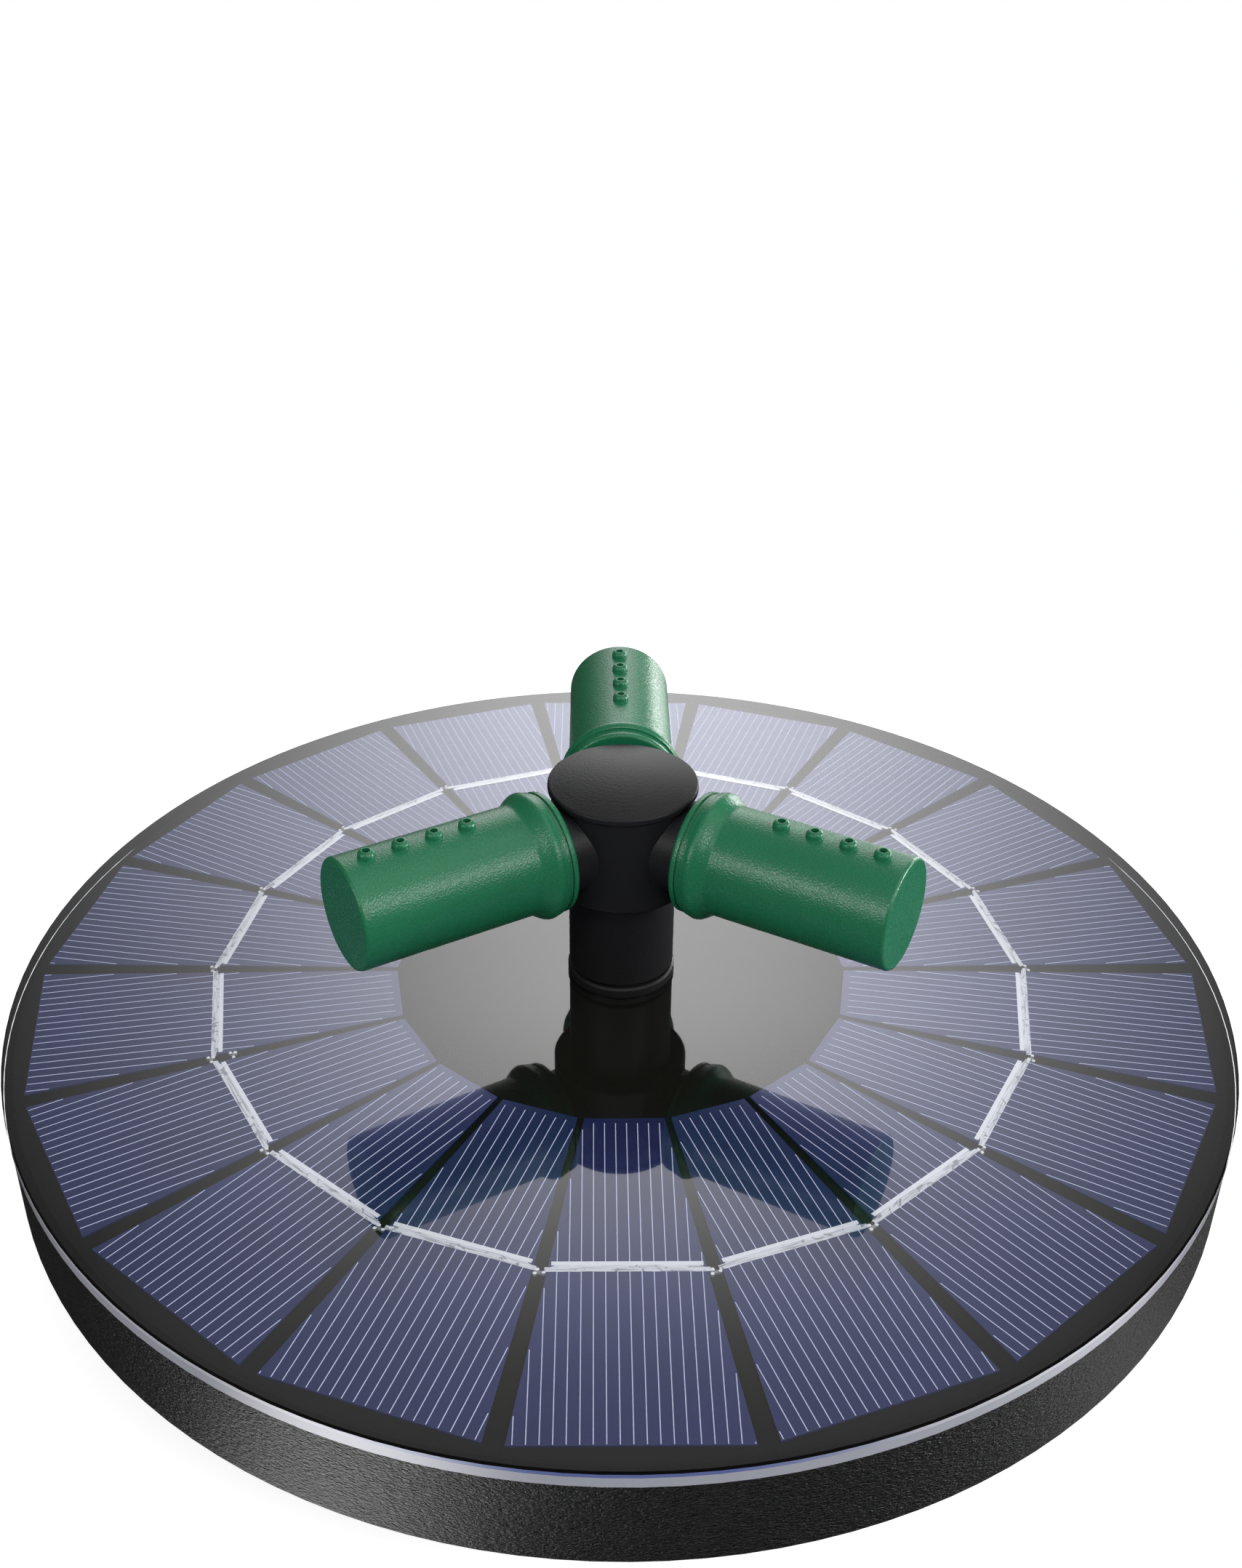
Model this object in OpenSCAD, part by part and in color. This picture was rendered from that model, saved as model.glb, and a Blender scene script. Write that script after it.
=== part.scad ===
// Solar fountain pump. A round solar panel floats on a foam ring, a three-armed spray head turns
// on a stem at its centre, and a small magnetic-drive pump hangs under it in a slotted basket.
// Millimetres, +Z up, the part stands on the basket's base at z = 0, and the front is -Y.

/* [Panel] */
// Diameter of the panel
panel_d = 180; // [160:1:240]
// Thickness of the clear face over the cells
cover_skin = 0.45; // [0.3:0.05:1]
// Thickness of the clear rim round the board
cover_wall = 1.3; // [1:0.1:2]
// Bevel along the panel's upper edge
cover_bevel = 0.25; // [0.1:0.05:0.6]
// Thickness of the board that carries the cells
board_h = 1.4; // [0.8:0.1:3]
// Number of cells
cell_count = 18; // [14:1:24]
// Distance from the centre to the cells' inner edges
cell_in_r = 33.5; // [25:0.5:45]
// Bare border outside the cells' corners
cell_border = 2.7; // [2.2:0.1:12]
// Gap between two cells at their inner edges
cell_gap_in = 0.9; // [0.4:0.1:1.5]
// Gap between two cells at their outer edges
cell_gap_out = 2.6; // [1:0.1:4]
// Thickness of a cell
cell_h = 0.3; // [0.2:0.05:0.5]
// Distance from the centre to the middle of the ribbons
ribbon_r = 60.15; // [50:0.5:68]
// Width of a ribbon
ribbon_w = 1.6; // [0.8:0.1:3]
// Thickness of a ribbon
ribbon_h = 0.08; // [0.05:0.01:0.2]

/* [Float] */
// Diameter of the hole in the foam ring
float_bore_d = 108; // [90:1:120]
// Height of the foam ring
float_h = 13.5; // [8:0.5:25]
// How far the foam stands back from the panel's rim
float_inset = 0.1; // [0:0.1:2]
// Rounding of the foam's lower outer edge
float_round = 0.8; // [0.2:0.1:3]

/* [Stem] */
// Outer diameter of the outlet tube
tube_d = 9.2; // [8.4:0.1:10]
// Bore of the outlet tube
tube_bore_d = 6; // [5:0.1:6.6]
// Height of the outlet tube above the panel
tube_rise = 13; // [10:0.5:15]
// Diameter of the collar on the panel
collar_d = 16; // [14:0.5:24]
// Height of the collar
collar_h = 1.5; // [1:0.1:3]
// Open gap between the collar and the sleeve
collar_gap = 0.4; // [0.2:0.1:1]
// Outer diameter of the stem sleeve
sleeve_d = 15.6; // [14:0.1:18]
// Height of the seam between sleeve and manifold above the panel
seam_rise = 16.6; // [16:0.2:26]
// Diameter of the spigot on which the manifold turns
swivel_d = 12.4; // [12:0.1:13]
// How far the barb stands out from the swivel spigot
barb_out = 0.7; // [0.3:0.1:1]
// Height of the barb that keeps the manifold on
barb_h = 1.8; // [1:0.1:3]

/* [Manifold] */
// Outer diameter of the manifold
manifold_d = 20.6; // [19.6:0.1:21]
// Thickness of the manifold's floor round the swivel spigot
manifold_floor = 3.5; // [3:0.1:6]
// Wall of the manifold
manifold_wall = 2; // [1.6:0.1:2.2]
// Diameter of the cap
cap_d = 21.6; // [21.2:0.1:26]
// Height of the cap's rim
cap_rim_h = 1.2; // [1:0.1:3]
// Height of the cap's dome over its rim
cap_dome_h = 1.5; // [0.5:0.1:3]
// Depth of the cap's plug
cap_plug_h = 2.2; // [1.5:0.1:4]
// Outer diameter of the arms' spigots
spigot_d = 13.4; // [12.6:0.1:13.6]
// Bore of the arms' spigots
spigot_bore_d = 9; // [7:0.1:9.6]
// Length of the spigot inside an arm
spigot_grip = 11.2; // [9:0.2:13]

/* [Spray arms] */
// Outer diameter of an arm's tube
arm_d = 16; // [15.6:0.1:20]
// Length of an arm from lip to tip
arm_len = 31.6; // [28:0.2:44]
// Thickness of the arm's closed tip
arm_tip_wall = 1.4; // [1:0.1:3]
// Wall of the arm's tube past the socket
arm_wall = 1.8; // [1.4:0.1:2.4]
// Rounding of the tip's edge
arm_tip_round = 0.5; // [0.2:0.1:1]
// Diameter over the bead
bead_d = 18.5; // [18:0.1:24]
// Distance from the lip to the bead's crown
bead_at = 2.9; // [2.7:0.1:4]
// Length of the flare from the bead's crown to the plain tube
bead_flare = 2.7; // [1.5:0.1:5]
// Diameter over the lip
lip_d = 17.6; // [16.8:0.1:17.8]
// Number of nozzles on an arm
nozzle_count = 4; // [1:1:4]
// Distance between two nozzles
nozzle_pitch = 4.93; // [3:0.01:5.2]
// Distance from the tip to the last nozzle
nozzle_end = 4; // [2.5:0.1:5]
// Diameter of a nozzle's nub
nozzle_d = 2.4; // [2:0.1:3]
// Height of a nub over the tube
nozzle_h = 1; // [0.5:0.1:1.5]
// Diameter of a nozzle's hole
nozzle_bore_d = 1.1; // [0.6:0.1:1.4]

/* [Pump] */
// Diameter of the impeller
impeller_d = 15; // [13:0.1:16.4]
// Number of impeller blades
blade_count = 6; // [4:1:8]
// Height of the blades
blade_h = 3.2; // [2:0.1:3.4]
// Diameter of the chamber round the impeller
chamber_d = 19; // [18:0.1:20]
// Wall of the pump casing
casing_wall = 1.4; // [1:0.1:2]
// Diameter of the inlet
inlet_d = 7.6; // [7:0.1:9]
// Diameter of the pump shaft
shaft_d = 2; // [1.5:0.1:2.4]
// Diameter of the rotor magnet
magnet_d = 10.4; // [9:0.1:11]
// Length of the rotor magnet
magnet_len = 9.6; // [7:0.1:10]
// Wall of the cup that the magnet turns in
cup_wall = 0.9; // [0.6:0.1:1.2]
// Radial length of the stator's teeth
tooth_len = 3.3; // [3:0.1:4]
// Radial width of the stator's ring
yoke_w = 1.4; // [1:0.1:2]
// Length of the stator core
core_len = 7; // [5:0.1:8]
// Wall of the motor shell
shell_wall = 1.1; // [0.8:0.1:1.6]
// Thickness of the driver board
driver_h = 1; // [0.8:0.1:1.6]

/* [Basket and mounting] */
// Outer diameter of the basket
basket_d = 65.6; // [64:0.2:72]
// Wall of the basket
basket_wall = 1.8; // [1.2:0.1:2.2]
// Thickness of the basket's floor
basket_floor = 2; // [1.5:0.1:4]
// Number of slots round the basket
slot_count = 30; // [12:1:32]
// Width of a slot
slot_w = 2.4; // [1.5:0.1:3]
// Height of the solid band under the slots
slot_low = 5; // [4:0.5:8]
// Height of the solid band over the slots
slot_high = 8.3; // [7:0.1:12]
// Number of slots in the floor
floor_slot_count = 16; // [6:1:20]
// Distance from the centre to the floor slots' inner ends
floor_slot_in = 9; // [8:0.5:12]
// Distance from the centre to the floor slots' outer ends
floor_slot_out = 21; // [16:0.5:24]
// Thickness of the mount plate
plate_h = 2.6; // [2.2:0.1:5]
// How far the mount plate stands out past the basket
plate_lip = 1.7; // [0.2:0.1:7]
// Thickness of the gasket on the mount plate
gasket_h = 0.8; // [0.5:0.1:2]
// Height of the space between the motor and its bridge
leg_h = 3.7; // [3:0.1:8]
// Thickness of the bridge that the screws pass through
bridge_h = 2; // [1.5:0.1:4]

/* [Fits] */
// Radial clearance of what turns or slides on a shaft or spigot
run_gap = 0.1; // [0.05:0.01:0.1]
// Clearance round a seal, a bush or an inserted piece
seat_gap = 0.06; // [0.03:0.01:0.1]
// Clearance round the basket and the rotor's magnet
loose_gap = 0.2; // [0.15:0.01:0.4]

/* [Hidden] */
$fn = 96;

// Overrun of every cut past the face that it opens
over = 1;

// Angles of the three arms round the stem
left_az = 210;
right_az = 330;
back_az = 90;

// Steps in a rounded edge, a bead's side, its flare and the cap's dome
round_steps = 6;
bead_steps = 6;
flare_steps = 14;
dome_steps = 12;

// Number of cells from the front one to the gap that holds the terminal joint
terminal_gap = 3;

// Small sizes of the panel
lamina_gap = 0.07;
solder_step = 0.06;
terminal_pitch = 3.1;
ribbon_inset = 0.35;
tail_w = 0.7;

// Small sizes of the stem and the head
grommet_wall = 1.3;
ring_wire = 1;
swivel_wire = 1;
arm_wire = 1.6;
groove_side = 0.2;
stem_ring_up = 8;
sleeve_bore_d = 6.8;
edge_bevel = 0.3;
chamber_land = 0.1;
arm_gap = 1.1;
socket_spare = 0.5;
socket_lead = 0.4;
lip_round = 0.55;
lip_w = 0.95;
lip_groove_w = 0.25;
lip_groove_deep = 0.25;
band_w = 0.65;
band_drop = 0.1;
bead_step = 0.22;
cap_edge = 0.4;
cap_wall = 1.4;

// Small sizes of the pump
chamber_front = 3.4;
boss_h = 2.2;
flange_h = 1.6;
flange_out = 0.8;
inlet_rise = 2;
inlet_wall = 1.2;
spoke_w = 1;
volute_wire = 1;
blade_w = 0.8;
shroud_h = 0.9;
hub_wall = 1.3;
blade_end_gap = 0.8;
magnet_space = 1.4;
magnet_run = 0.5;
cup_spare = 0.9;
bush_wall = 0.8;
bush_len = 2.4;
bush_end = 0.6;
bush_holder_wall = 1;
tooth_w = 2.4;
shoe_w = 4.4;
shoe_h = 0.8;
coil_h = 2;
coil_w = 1.1;
tooth_count = 6;
core_space = 1.3;
shell_space = 2.4;
rear_h = 1.5;
rear_lip_h = 1.2;
rear_lip_w = 1;
pin_d = 0.8;
pin_pitch = 3;
pin_drop = 6;
pin_room = 0.1;

// Small sizes of the mounting
pump_over_floor = 1.4;
bridge_x = 24;
bridge_y = 13.6;
pillar_x = 12;
screw_d = 2;
screw_head_d = 4.4;
screw_head_h = 1.4;
screw_into = 2;
screw_x = 18;
screw_y = 8.8;
screw_room = 0.3;
skirt_h = 4;
skirt_wall = 1.6;
basket_bevel = 1.2;
tube_room = 0.3;
gasket_room = 1;

// Radii
panel_r = panel_d / 2;
tube_r = tube_d / 2;
sleeve_r = sleeve_d / 2;
swivel_r = swivel_d / 2;
manifold_r = manifold_d / 2;
cap_r = cap_d / 2;
spigot_r = spigot_d / 2;
spigot_bore_r = spigot_bore_d / 2;
arm_r = arm_d / 2;
lip_r = lip_d / 2;
bead_r = bead_d / 2;
chamber_r = chamber_d / 2;
basket_r = basket_d / 2;
plate_r = basket_r + plate_lip;
shaft_r = shaft_d / 2;
magnet_r = magnet_d / 2;
impeller_r = impeller_d / 2;

// Panel, measured round and across a cell
cell_half = 180 / cell_count;
pocket_r = panel_r - cover_wall;
board_r = pocket_r - loose_gap;
cell_out_r = (panel_r - cell_border) * cos(cell_half);
joint_r = (ribbon_r + ribbon_w / 2) / cos(cell_half);
cover_h = board_h + cell_h + ribbon_h + lamina_gap + cover_skin;
panel_hole_r = tube_r + run_gap + grommet_wall + seat_gap;

// Motor radii, from the magnet outwards
cup_r = magnet_r + magnet_run;
tooth_r = cup_r + cup_wall + run_gap;
yoke_r = tooth_r + tooth_len;
core_r = yoke_r + yoke_w;
shell_r = core_r + run_gap;
motor_r = shell_r + shell_wall;
flange_r = motor_r + flange_out;
hub_r = shaft_r + hub_wall;
bush_r = shaft_r + bush_wall;

// Heights
pump_z = basket_floor + pump_over_floor + motor_r;
bridge_z = pump_z + motor_r + leg_h;
plate_z = bridge_z + bridge_h;
gasket_z = plate_z + plate_h;
panel_z = gasket_z + gasket_h;
top_z = panel_z + cover_h;
cell_z = panel_z + board_h;
ribbon_z = cell_z + cell_h;
tube_top_z = top_z + tube_rise;
sleeve_z = top_z + collar_h + collar_gap;
seam_z = top_z + seam_rise;
floor_z = seam_z + manifold_floor;
arm_z = floor_z + chamber_land + spigot_bore_r;
cap_z = arm_z + spigot_bore_r + chamber_land + cap_plug_h;
stem_ring_z = top_z + stem_ring_up;

// Pump, along its axis: the outlet tube rises through the origin and draws at a tangent
pump_x = tube_bore_d / 2 - chamber_r;
face_y = tube_r + loose_gap;
casing_y = -chamber_front - casing_wall;
inlet_y = casing_y - inlet_rise;
boss_y = face_y - boss_h;
blade_y = -chamber_front + blade_end_gap;
shroud_y = blade_y + blade_h;
magnet_y = shroud_y + shroud_h + magnet_space;
cup_end_y = magnet_y + magnet_len + cup_spare + bush_len;
core_y = face_y + flange_h + core_space;
driver_y = cup_end_y + cup_wall + run_gap;
pin_y = driver_y + driver_h + seat_gap + pin_d / 2;
shell_end_y = driver_y + driver_h + shell_space;
shaft_start_y = inlet_y + bush_end;
shaft_end_y = cup_end_y - bush_end;
bridge_start_y = face_y + flange_h;

// Arms, along their axis from the stem's centre
arm_start = cap_r + arm_gap;
arm_end = arm_start + arm_len;
spigot_end = arm_start + spigot_grip;
socket_r = spigot_r + run_gap;
arm_bore_r = arm_r - arm_wall;
bead_x = arm_start + bead_at;

// Points along an arc about c, from angle a0 to angle a1
function arc(c, r, a0, a1, steps) =
  [for (i = [0:steps]) c + r * [cos(a0 + (a1 - a0) * i / steps), sin(a0 + (a1 - a0) * i / steps)]];

// Widths of the gap between two cells and of a cell, r from the centre along the cell's middle
function gap_w(r) =
  cell_gap_in + (cell_gap_out - cell_gap_in) * (r - cell_in_r) / (cell_out_r - cell_in_r);
function cell_w(r) = 2 * r * tan(cell_half) - gap_w(r) / cos(cell_half);

// Radius of a solder joint that lies in a gap, r from the centre along the gap
function dot_r(r) = gap_w(r * cos(cell_half)) / 2 - seat_gap;

// Half wave from radius r0 at share 0 to radius r1 at share 1
function wave(r0, r1, share) = (r0 + r1) / 2 + (r0 - r1) / 2 * cos(180 * share);

// A tube along +Z
module tube(outer_r, inner_r, h) {
  difference() {
    cylinder(r = outer_r, h = h);
    translate([0, 0, -over]) cylinder(r = inner_r, h = h + 2 * over);
  }
}

// Turns a shape drawn along +Z so that it lies along +Y on the pump's axis
module on_pump_axis(y) {
  translate([pump_x, y, pump_z]) rotate([-90, 0, 0]) children();
}

// Repeats a shape round the panel, once a cell, the first at the front
module round_panel(turn) {
  for (i = [0:cell_count - 1]) rotate([0, 0, 360 * i / cell_count + turn - 90]) children();
}

// A seal ring of round section that fills a groove below the bore of radius bore_r
module seal_ring(bore_r, wire) {
  rotate_extrude() translate([bore_r - seat_gap - wire / 2, 0]) circle(d = wire);
}

// The groove for that ring, cut into a shaft
module seal_groove(bore_r, wire) {
  groove_w = wire + 2 * groove_side;
  translate([0, 0, -groove_w / 2])
    tube(bore_r + over, bore_r - 2 * seat_gap - wire, groove_w);
}

module top_cover() {
  color("#dfe6ea")
    rotate_extrude()
      polygon([
        [panel_hole_r, cell_z], [panel_hole_r + grommet_wall, cell_z],
        [panel_hole_r + grommet_wall, top_z - cover_skin], [pocket_r, top_z - cover_skin],
        [pocket_r, panel_z], [panel_r, panel_z], [panel_r, top_z - cover_bevel],
        [panel_r - cover_bevel, top_z], [panel_hole_r, top_z]
      ]);
}

module solar_cells() {
  w_in = cell_w(cell_in_r) / 2;
  w_out = cell_w(cell_out_r) / 2;
  color("#3c4064")
    round_panel(0)
      translate([0, 0, cell_z])
        linear_extrude(cell_h)
          polygon([[cell_in_r, -w_in], [cell_out_r, -w_out], [cell_out_r, w_out], [cell_in_r, w_in]]);
}

module tabbing_ribbons() {
  half = cell_w(ribbon_r) / 2 - ribbon_inset;
  tail_x = joint_r * cos(cell_half);
  tail_y = joint_r * sin(cell_half) - dot_r(joint_r) - seat_gap;
  out_x = ribbon_r + ribbon_w / 2;
  in_x = ribbon_r - ribbon_w / 2;
  color("#d8d8dc")
    round_panel(0)
      translate([0, 0, ribbon_z])
        linear_extrude(ribbon_h)
          polygon([
            [in_x, -half], [out_x - tail_w, -half], [tail_x - tail_w, -tail_y], [tail_x, -tail_y],
            [out_x, -half], [out_x, half], [tail_x, tail_y], [tail_x - tail_w, tail_y],
            [out_x - tail_w, half], [in_x, half]
          ]);
}

// A flat drop of solder between two cells, r from the centre
module solder_dot(r) {
  dot_h = cell_h + ribbon_h;
  translate([r, 0, cell_z])
    rotate_extrude()
      polygon([
        [0, 0], [dot_r(r), 0], [dot_r(r), dot_h - solder_step], [dot_r(r) - solder_step, dot_h],
        [0, dot_h]
      ]);
}

module solder_joints() {
  color("#c9c9cc") {
    round_panel(cell_half) solder_dot(joint_r);
    rotate([0, 0, -90 - (2 * terminal_gap + 1) * cell_half]) solder_dot(joint_r - terminal_pitch);
  }
}

module backing_board() {
  color("#2e2e2e")
    translate([0, 0, panel_z]) tube(board_r, panel_hole_r, board_h);
}

module float_ring() {
  outer = panel_r - float_inset;
  bottom = panel_z - float_h;
  color("#2b2b2d")
    rotate_extrude()
      polygon(concat(
        [[float_bore_d / 2, panel_z], [float_bore_d / 2, bottom]],
        arc([outer - float_round, bottom + float_round], float_round, -90, 0, round_steps),
        [[outer, panel_z]]
      ));
}

module outlet_collar() {
  color("#1f1f21")
    translate([0, 0, top_z])
      rotate_extrude()
        polygon([
          [tube_r + run_gap, 0], [collar_d / 2, 0], [collar_d / 2, collar_h - edge_bevel],
          [collar_d / 2 - edge_bevel, collar_h], [tube_r + run_gap, collar_h]
        ]);
}

module outlet_grommet() {
  color("#303032")
    translate([0, 0, panel_z])
      tube(panel_hole_r - seat_gap, tube_r + run_gap, cover_h - seat_gap);
}

module stem_o_ring() {
  color("#101010")
    translate([0, 0, stem_ring_z]) seal_ring(tube_r + run_gap, ring_wire);
}

// The sleeve drops over the outlet tube, and its upper spigot carries the manifold
module stem_sleeve() {
  barb_z = floor_z + run_gap;
  bore_r = sleeve_bore_d / 2;
  ring_z = seam_z + manifold_floor / 2;
  color("#1f1f21")
    difference() {
      rotate_extrude()
        polygon([
          [tube_r + run_gap, sleeve_z], [sleeve_r - edge_bevel, sleeve_z],
          [sleeve_r, sleeve_z + edge_bevel], [sleeve_r, seam_z - run_gap],
          [swivel_r, seam_z - run_gap], [swivel_r, barb_z], [swivel_r + barb_out, barb_z],
          [swivel_r, barb_z + barb_h], [bore_r, barb_z + barb_h],
          [bore_r, tube_top_z + seat_gap], [tube_r + run_gap, tube_top_z + seat_gap]
        ]);
      translate([0, 0, ring_z]) seal_groove(swivel_r + run_gap, swivel_wire);
    }
}

module swivel_o_ring() {
  color("#101010")
    translate([0, 0, seam_z + manifold_floor / 2]) seal_ring(swivel_r + run_gap, swivel_wire);
}

// Places a shape drawn along +X on one arm's axis
module on_arm_axis(az) {
  rotate([0, 0, az]) translate([0, 0, arm_z]) children();
}

// A cylinder along +X
module along_x(r, x0, x1) {
  translate([x0, 0, 0]) rotate([0, 90, 0]) cylinder(r = r, h = x1 - x0);
}

// One spigot with the groove for its seal
module arm_spigot() {
  difference() {
    union() {
      along_x(spigot_r, 0, spigot_end - edge_bevel);
      translate([spigot_end - edge_bevel, 0, 0])
        rotate([0, 90, 0])
          cylinder(r1 = spigot_r, r2 = spigot_r - edge_bevel, h = edge_bevel);
    }
    translate([bead_x, 0, 0]) rotate([0, 90, 0]) seal_groove(socket_r, arm_wire);
  }
}

module manifold() {
  inner_r = manifold_r - manifold_wall;
  color("#1f1f21")
    difference() {
      union() {
        rotate_extrude()
          polygon([
            [0, seam_z], [manifold_r - edge_bevel, seam_z], [manifold_r, seam_z + edge_bevel],
            [manifold_r, cap_z], [0, cap_z]
          ]);
        for (az = [left_az, right_az, back_az]) on_arm_axis(az) arm_spigot();
      }
      translate([0, 0, seam_z - over]) cylinder(r = swivel_r + run_gap, h = cap_z - seam_z);
      translate([0, 0, floor_z]) cylinder(r = inner_r, h = cap_z - floor_z + over);
      for (az = [left_az, right_az, back_az])
        on_arm_axis(az) along_x(spigot_bore_r, 0, spigot_end + over);
    }
}

module manifold_cap() {
  plug_r = manifold_r - manifold_wall - seat_gap;
  rim_z = cap_z + cap_rim_h;
  flat_r = cap_r - cap_edge;
  dome_r = (flat_r * flat_r + cap_dome_h * cap_dome_h) / (2 * cap_dome_h);
  dome_a = asin(flat_r / dome_r);
  dome_step = dome_a / dome_steps;
  color("#222224")
    rotate_extrude()
      polygon(concat(
        [
          [0, cap_z], [plug_r - cap_wall, cap_z], [plug_r - cap_wall, cap_z - cap_plug_h],
          [plug_r, cap_z - cap_plug_h], [plug_r, cap_z], [cap_r - edge_bevel, cap_z],
          [cap_r, cap_z + edge_bevel]
        ],
        arc([flat_r, rim_z - cap_edge], cap_edge, 0, 90 - dome_a, round_steps),
        arc([0, rim_z + cap_dome_h - dome_r], dome_r, 90 - dome_a + dome_step, 90, dome_steps - 1)
      ));
}

// Radius of the arm's outside from the bead's crown towards the lip and towards the tip
function bead_root(share) = wave(bead_r, lip_r + bead_step, share);
function bead_tail(share) = wave(bead_r, arm_r, share);

// Half outline of an arm, from the lip's inner edge round to the middle of the tip
function arm_outline() =
  let (
    groove_x = arm_start + lip_w,
    band_x = groove_x + lip_groove_w,
    step_x = band_x + band_w,
    band_r = lip_r - band_drop,
    tip_in = arm_end - arm_tip_round
  )
  concat(
    [[socket_r + socket_lead, arm_start]],
    arc([lip_r - lip_round, arm_start + lip_round], lip_round, -90, 0, round_steps),
    [
      [lip_r, groove_x], [lip_r - lip_groove_deep, groove_x], [lip_r - lip_groove_deep, band_x],
      [band_r, band_x], [band_r, step_x]
    ],
    [for (i = [0:bead_steps - 1]) let (share = i / bead_steps)
      [bead_root(1 - share), step_x + (bead_x - step_x) * share]],
    [for (i = [0:flare_steps]) let (share = i / flare_steps)
      [bead_tail(share), bead_x + bead_flare * share]],
    arc([arm_r - arm_tip_round, tip_in], arm_tip_round, 0, 90, round_steps)
  );

// A nub with a round top that stands on the tube's wall
module nozzle_nub() {
  nub_r = nozzle_d / 2;
  root_z = arm_r - arm_wall / 2;
  top_z = arm_r + nozzle_h;
  crown = nub_r - nozzle_bore_d / 2;
  translate([0, 0, root_z])
    rotate_extrude($fn = 32)
      polygon(concat(
        [[0, 0], [nub_r, 0]],
        arc([nub_r - crown, top_z - root_z - crown], crown, 0, 90, round_steps),
        [[0, top_z - root_z]]
      ));
}

// A closed tube with a bead and a lip at its root and a row of nozzles along its top
module spray_arm(az) {
  color("#2f7a55")
    on_arm_axis(az)
      difference() {
        union() {
          rotate([0, 90, 0])
            rotate_extrude()
              polygon(concat(
                arm_outline(),
                [
                  [0, arm_end], [0, arm_end - arm_tip_wall], [arm_bore_r, arm_end - arm_tip_wall],
                  [arm_bore_r, spigot_end + socket_spare], [socket_r, spigot_end + socket_spare],
                  [socket_r, arm_start + socket_lead]
                ]
              ));
          for (i = [0:nozzle_count - 1])
            translate([arm_end - nozzle_end - nozzle_pitch * i, 0, 0]) nozzle_nub();
        }
        for (i = [0:nozzle_count - 1])
          translate([arm_end - nozzle_end - nozzle_pitch * i, 0, arm_bore_r - over])
            cylinder(d = nozzle_bore_d, h = arm_wall + nozzle_h + 2 * over, $fn = 32);
      }
}

module arm_o_ring(az) {
  color("#101010")
    on_arm_axis(az) translate([bead_x, 0, 0]) rotate([0, 90, 0]) seal_ring(socket_r, arm_wire);
}

// Repeats a shape at the four mounting screws
module at_screws() {
  for (sx = [-1, 1], sy = [-1, 1])
    translate([
      pump_x + sx * screw_x / 2,
      bridge_start_y + bridge_y / 2 + sy * screw_y / 2,
      0
    ])
      children();
}

// Repeats a shape at the two power pins
module at_pins() {
  for (s = [-1, 1]) translate([pump_x + s * pin_pitch / 2, pin_y, 0]) children();
}

// A drilling along +Z from z0 to z1
module drill(r, z0, z1) {
  translate([0, 0, z0 - over]) cylinder(r = r, h = z1 - z0 + 2 * over, $fn = 32);
}

module mount_plate() {
  skirt_r = basket_r - basket_wall - loose_gap;
  color("#232325")
    difference() {
      union() {
        translate([0, 0, plate_z]) cylinder(r = plate_r, h = plate_h);
        translate([0, 0, plate_z - skirt_h])
          tube(skirt_r, skirt_r - skirt_wall, skirt_h + plate_h / 2);
      }
      drill(tube_r + tube_room, plate_z, gasket_z);
      at_screws() translate([0, 0, plate_z - over])
        cylinder(r = screw_d / 2 + seat_gap, h = screw_into + seat_gap + over, $fn = 32);
      at_pins() drill(pin_d / 2 + pin_room, plate_z, gasket_z);
    }
}

module plate_gasket() {
  color("#3a3a3c")
    difference() {
      translate([0, 0, gasket_z]) cylinder(r = plate_r - gasket_room, h = gasket_h);
      drill(tube_r + gasket_room, gasket_z, panel_z);
      at_pins() drill(pin_d / 2 + pin_room, gasket_z, panel_z);
    }
}

module mounting_screws() {
  color("#9a9ca0")
    at_screws() {
      translate([0, 0, bridge_z - screw_head_h])
        rotate_extrude($fn = 32)
          polygon([
            [0, 0], [screw_head_d / 2 - edge_bevel, 0], [screw_head_d / 2, edge_bevel],
            [screw_head_d / 2, screw_head_h], [screw_d / 2, screw_head_h],
            [screw_d / 2, screw_head_h + bridge_h + screw_into],
            [0, screw_head_h + bridge_h + screw_into]
          ]);
    }
}

// The basket that the pump draws its water through, and that the part stands on
module strainer_basket() {
  inner_r = basket_r - basket_wall;
  top = plate_z - seat_gap;
  slot_len = floor_slot_out - floor_slot_in;
  color("#232325")
    difference() {
      rotate_extrude()
        polygon([
          [0, 0], [basket_r - basket_bevel, 0], [basket_r, basket_bevel], [basket_r, top],
          [inner_r, top], [inner_r, basket_floor], [0, basket_floor]
        ]);
      for (i = [0:slot_count - 1])
        rotate([0, 0, 360 * (i + 1 / 2) / slot_count])
          translate([inner_r - over, -slot_w / 2, slot_low])
            cube([basket_wall + 2 * over, slot_w, top - slot_high - slot_low]);
      for (i = [0:floor_slot_count - 1])
        rotate([0, 0, 360 * i / floor_slot_count])
          translate([floor_slot_in, -slot_w / 2, -over])
            cube([slot_len, slot_w, basket_floor + 2 * over]);
    }
}

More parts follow.
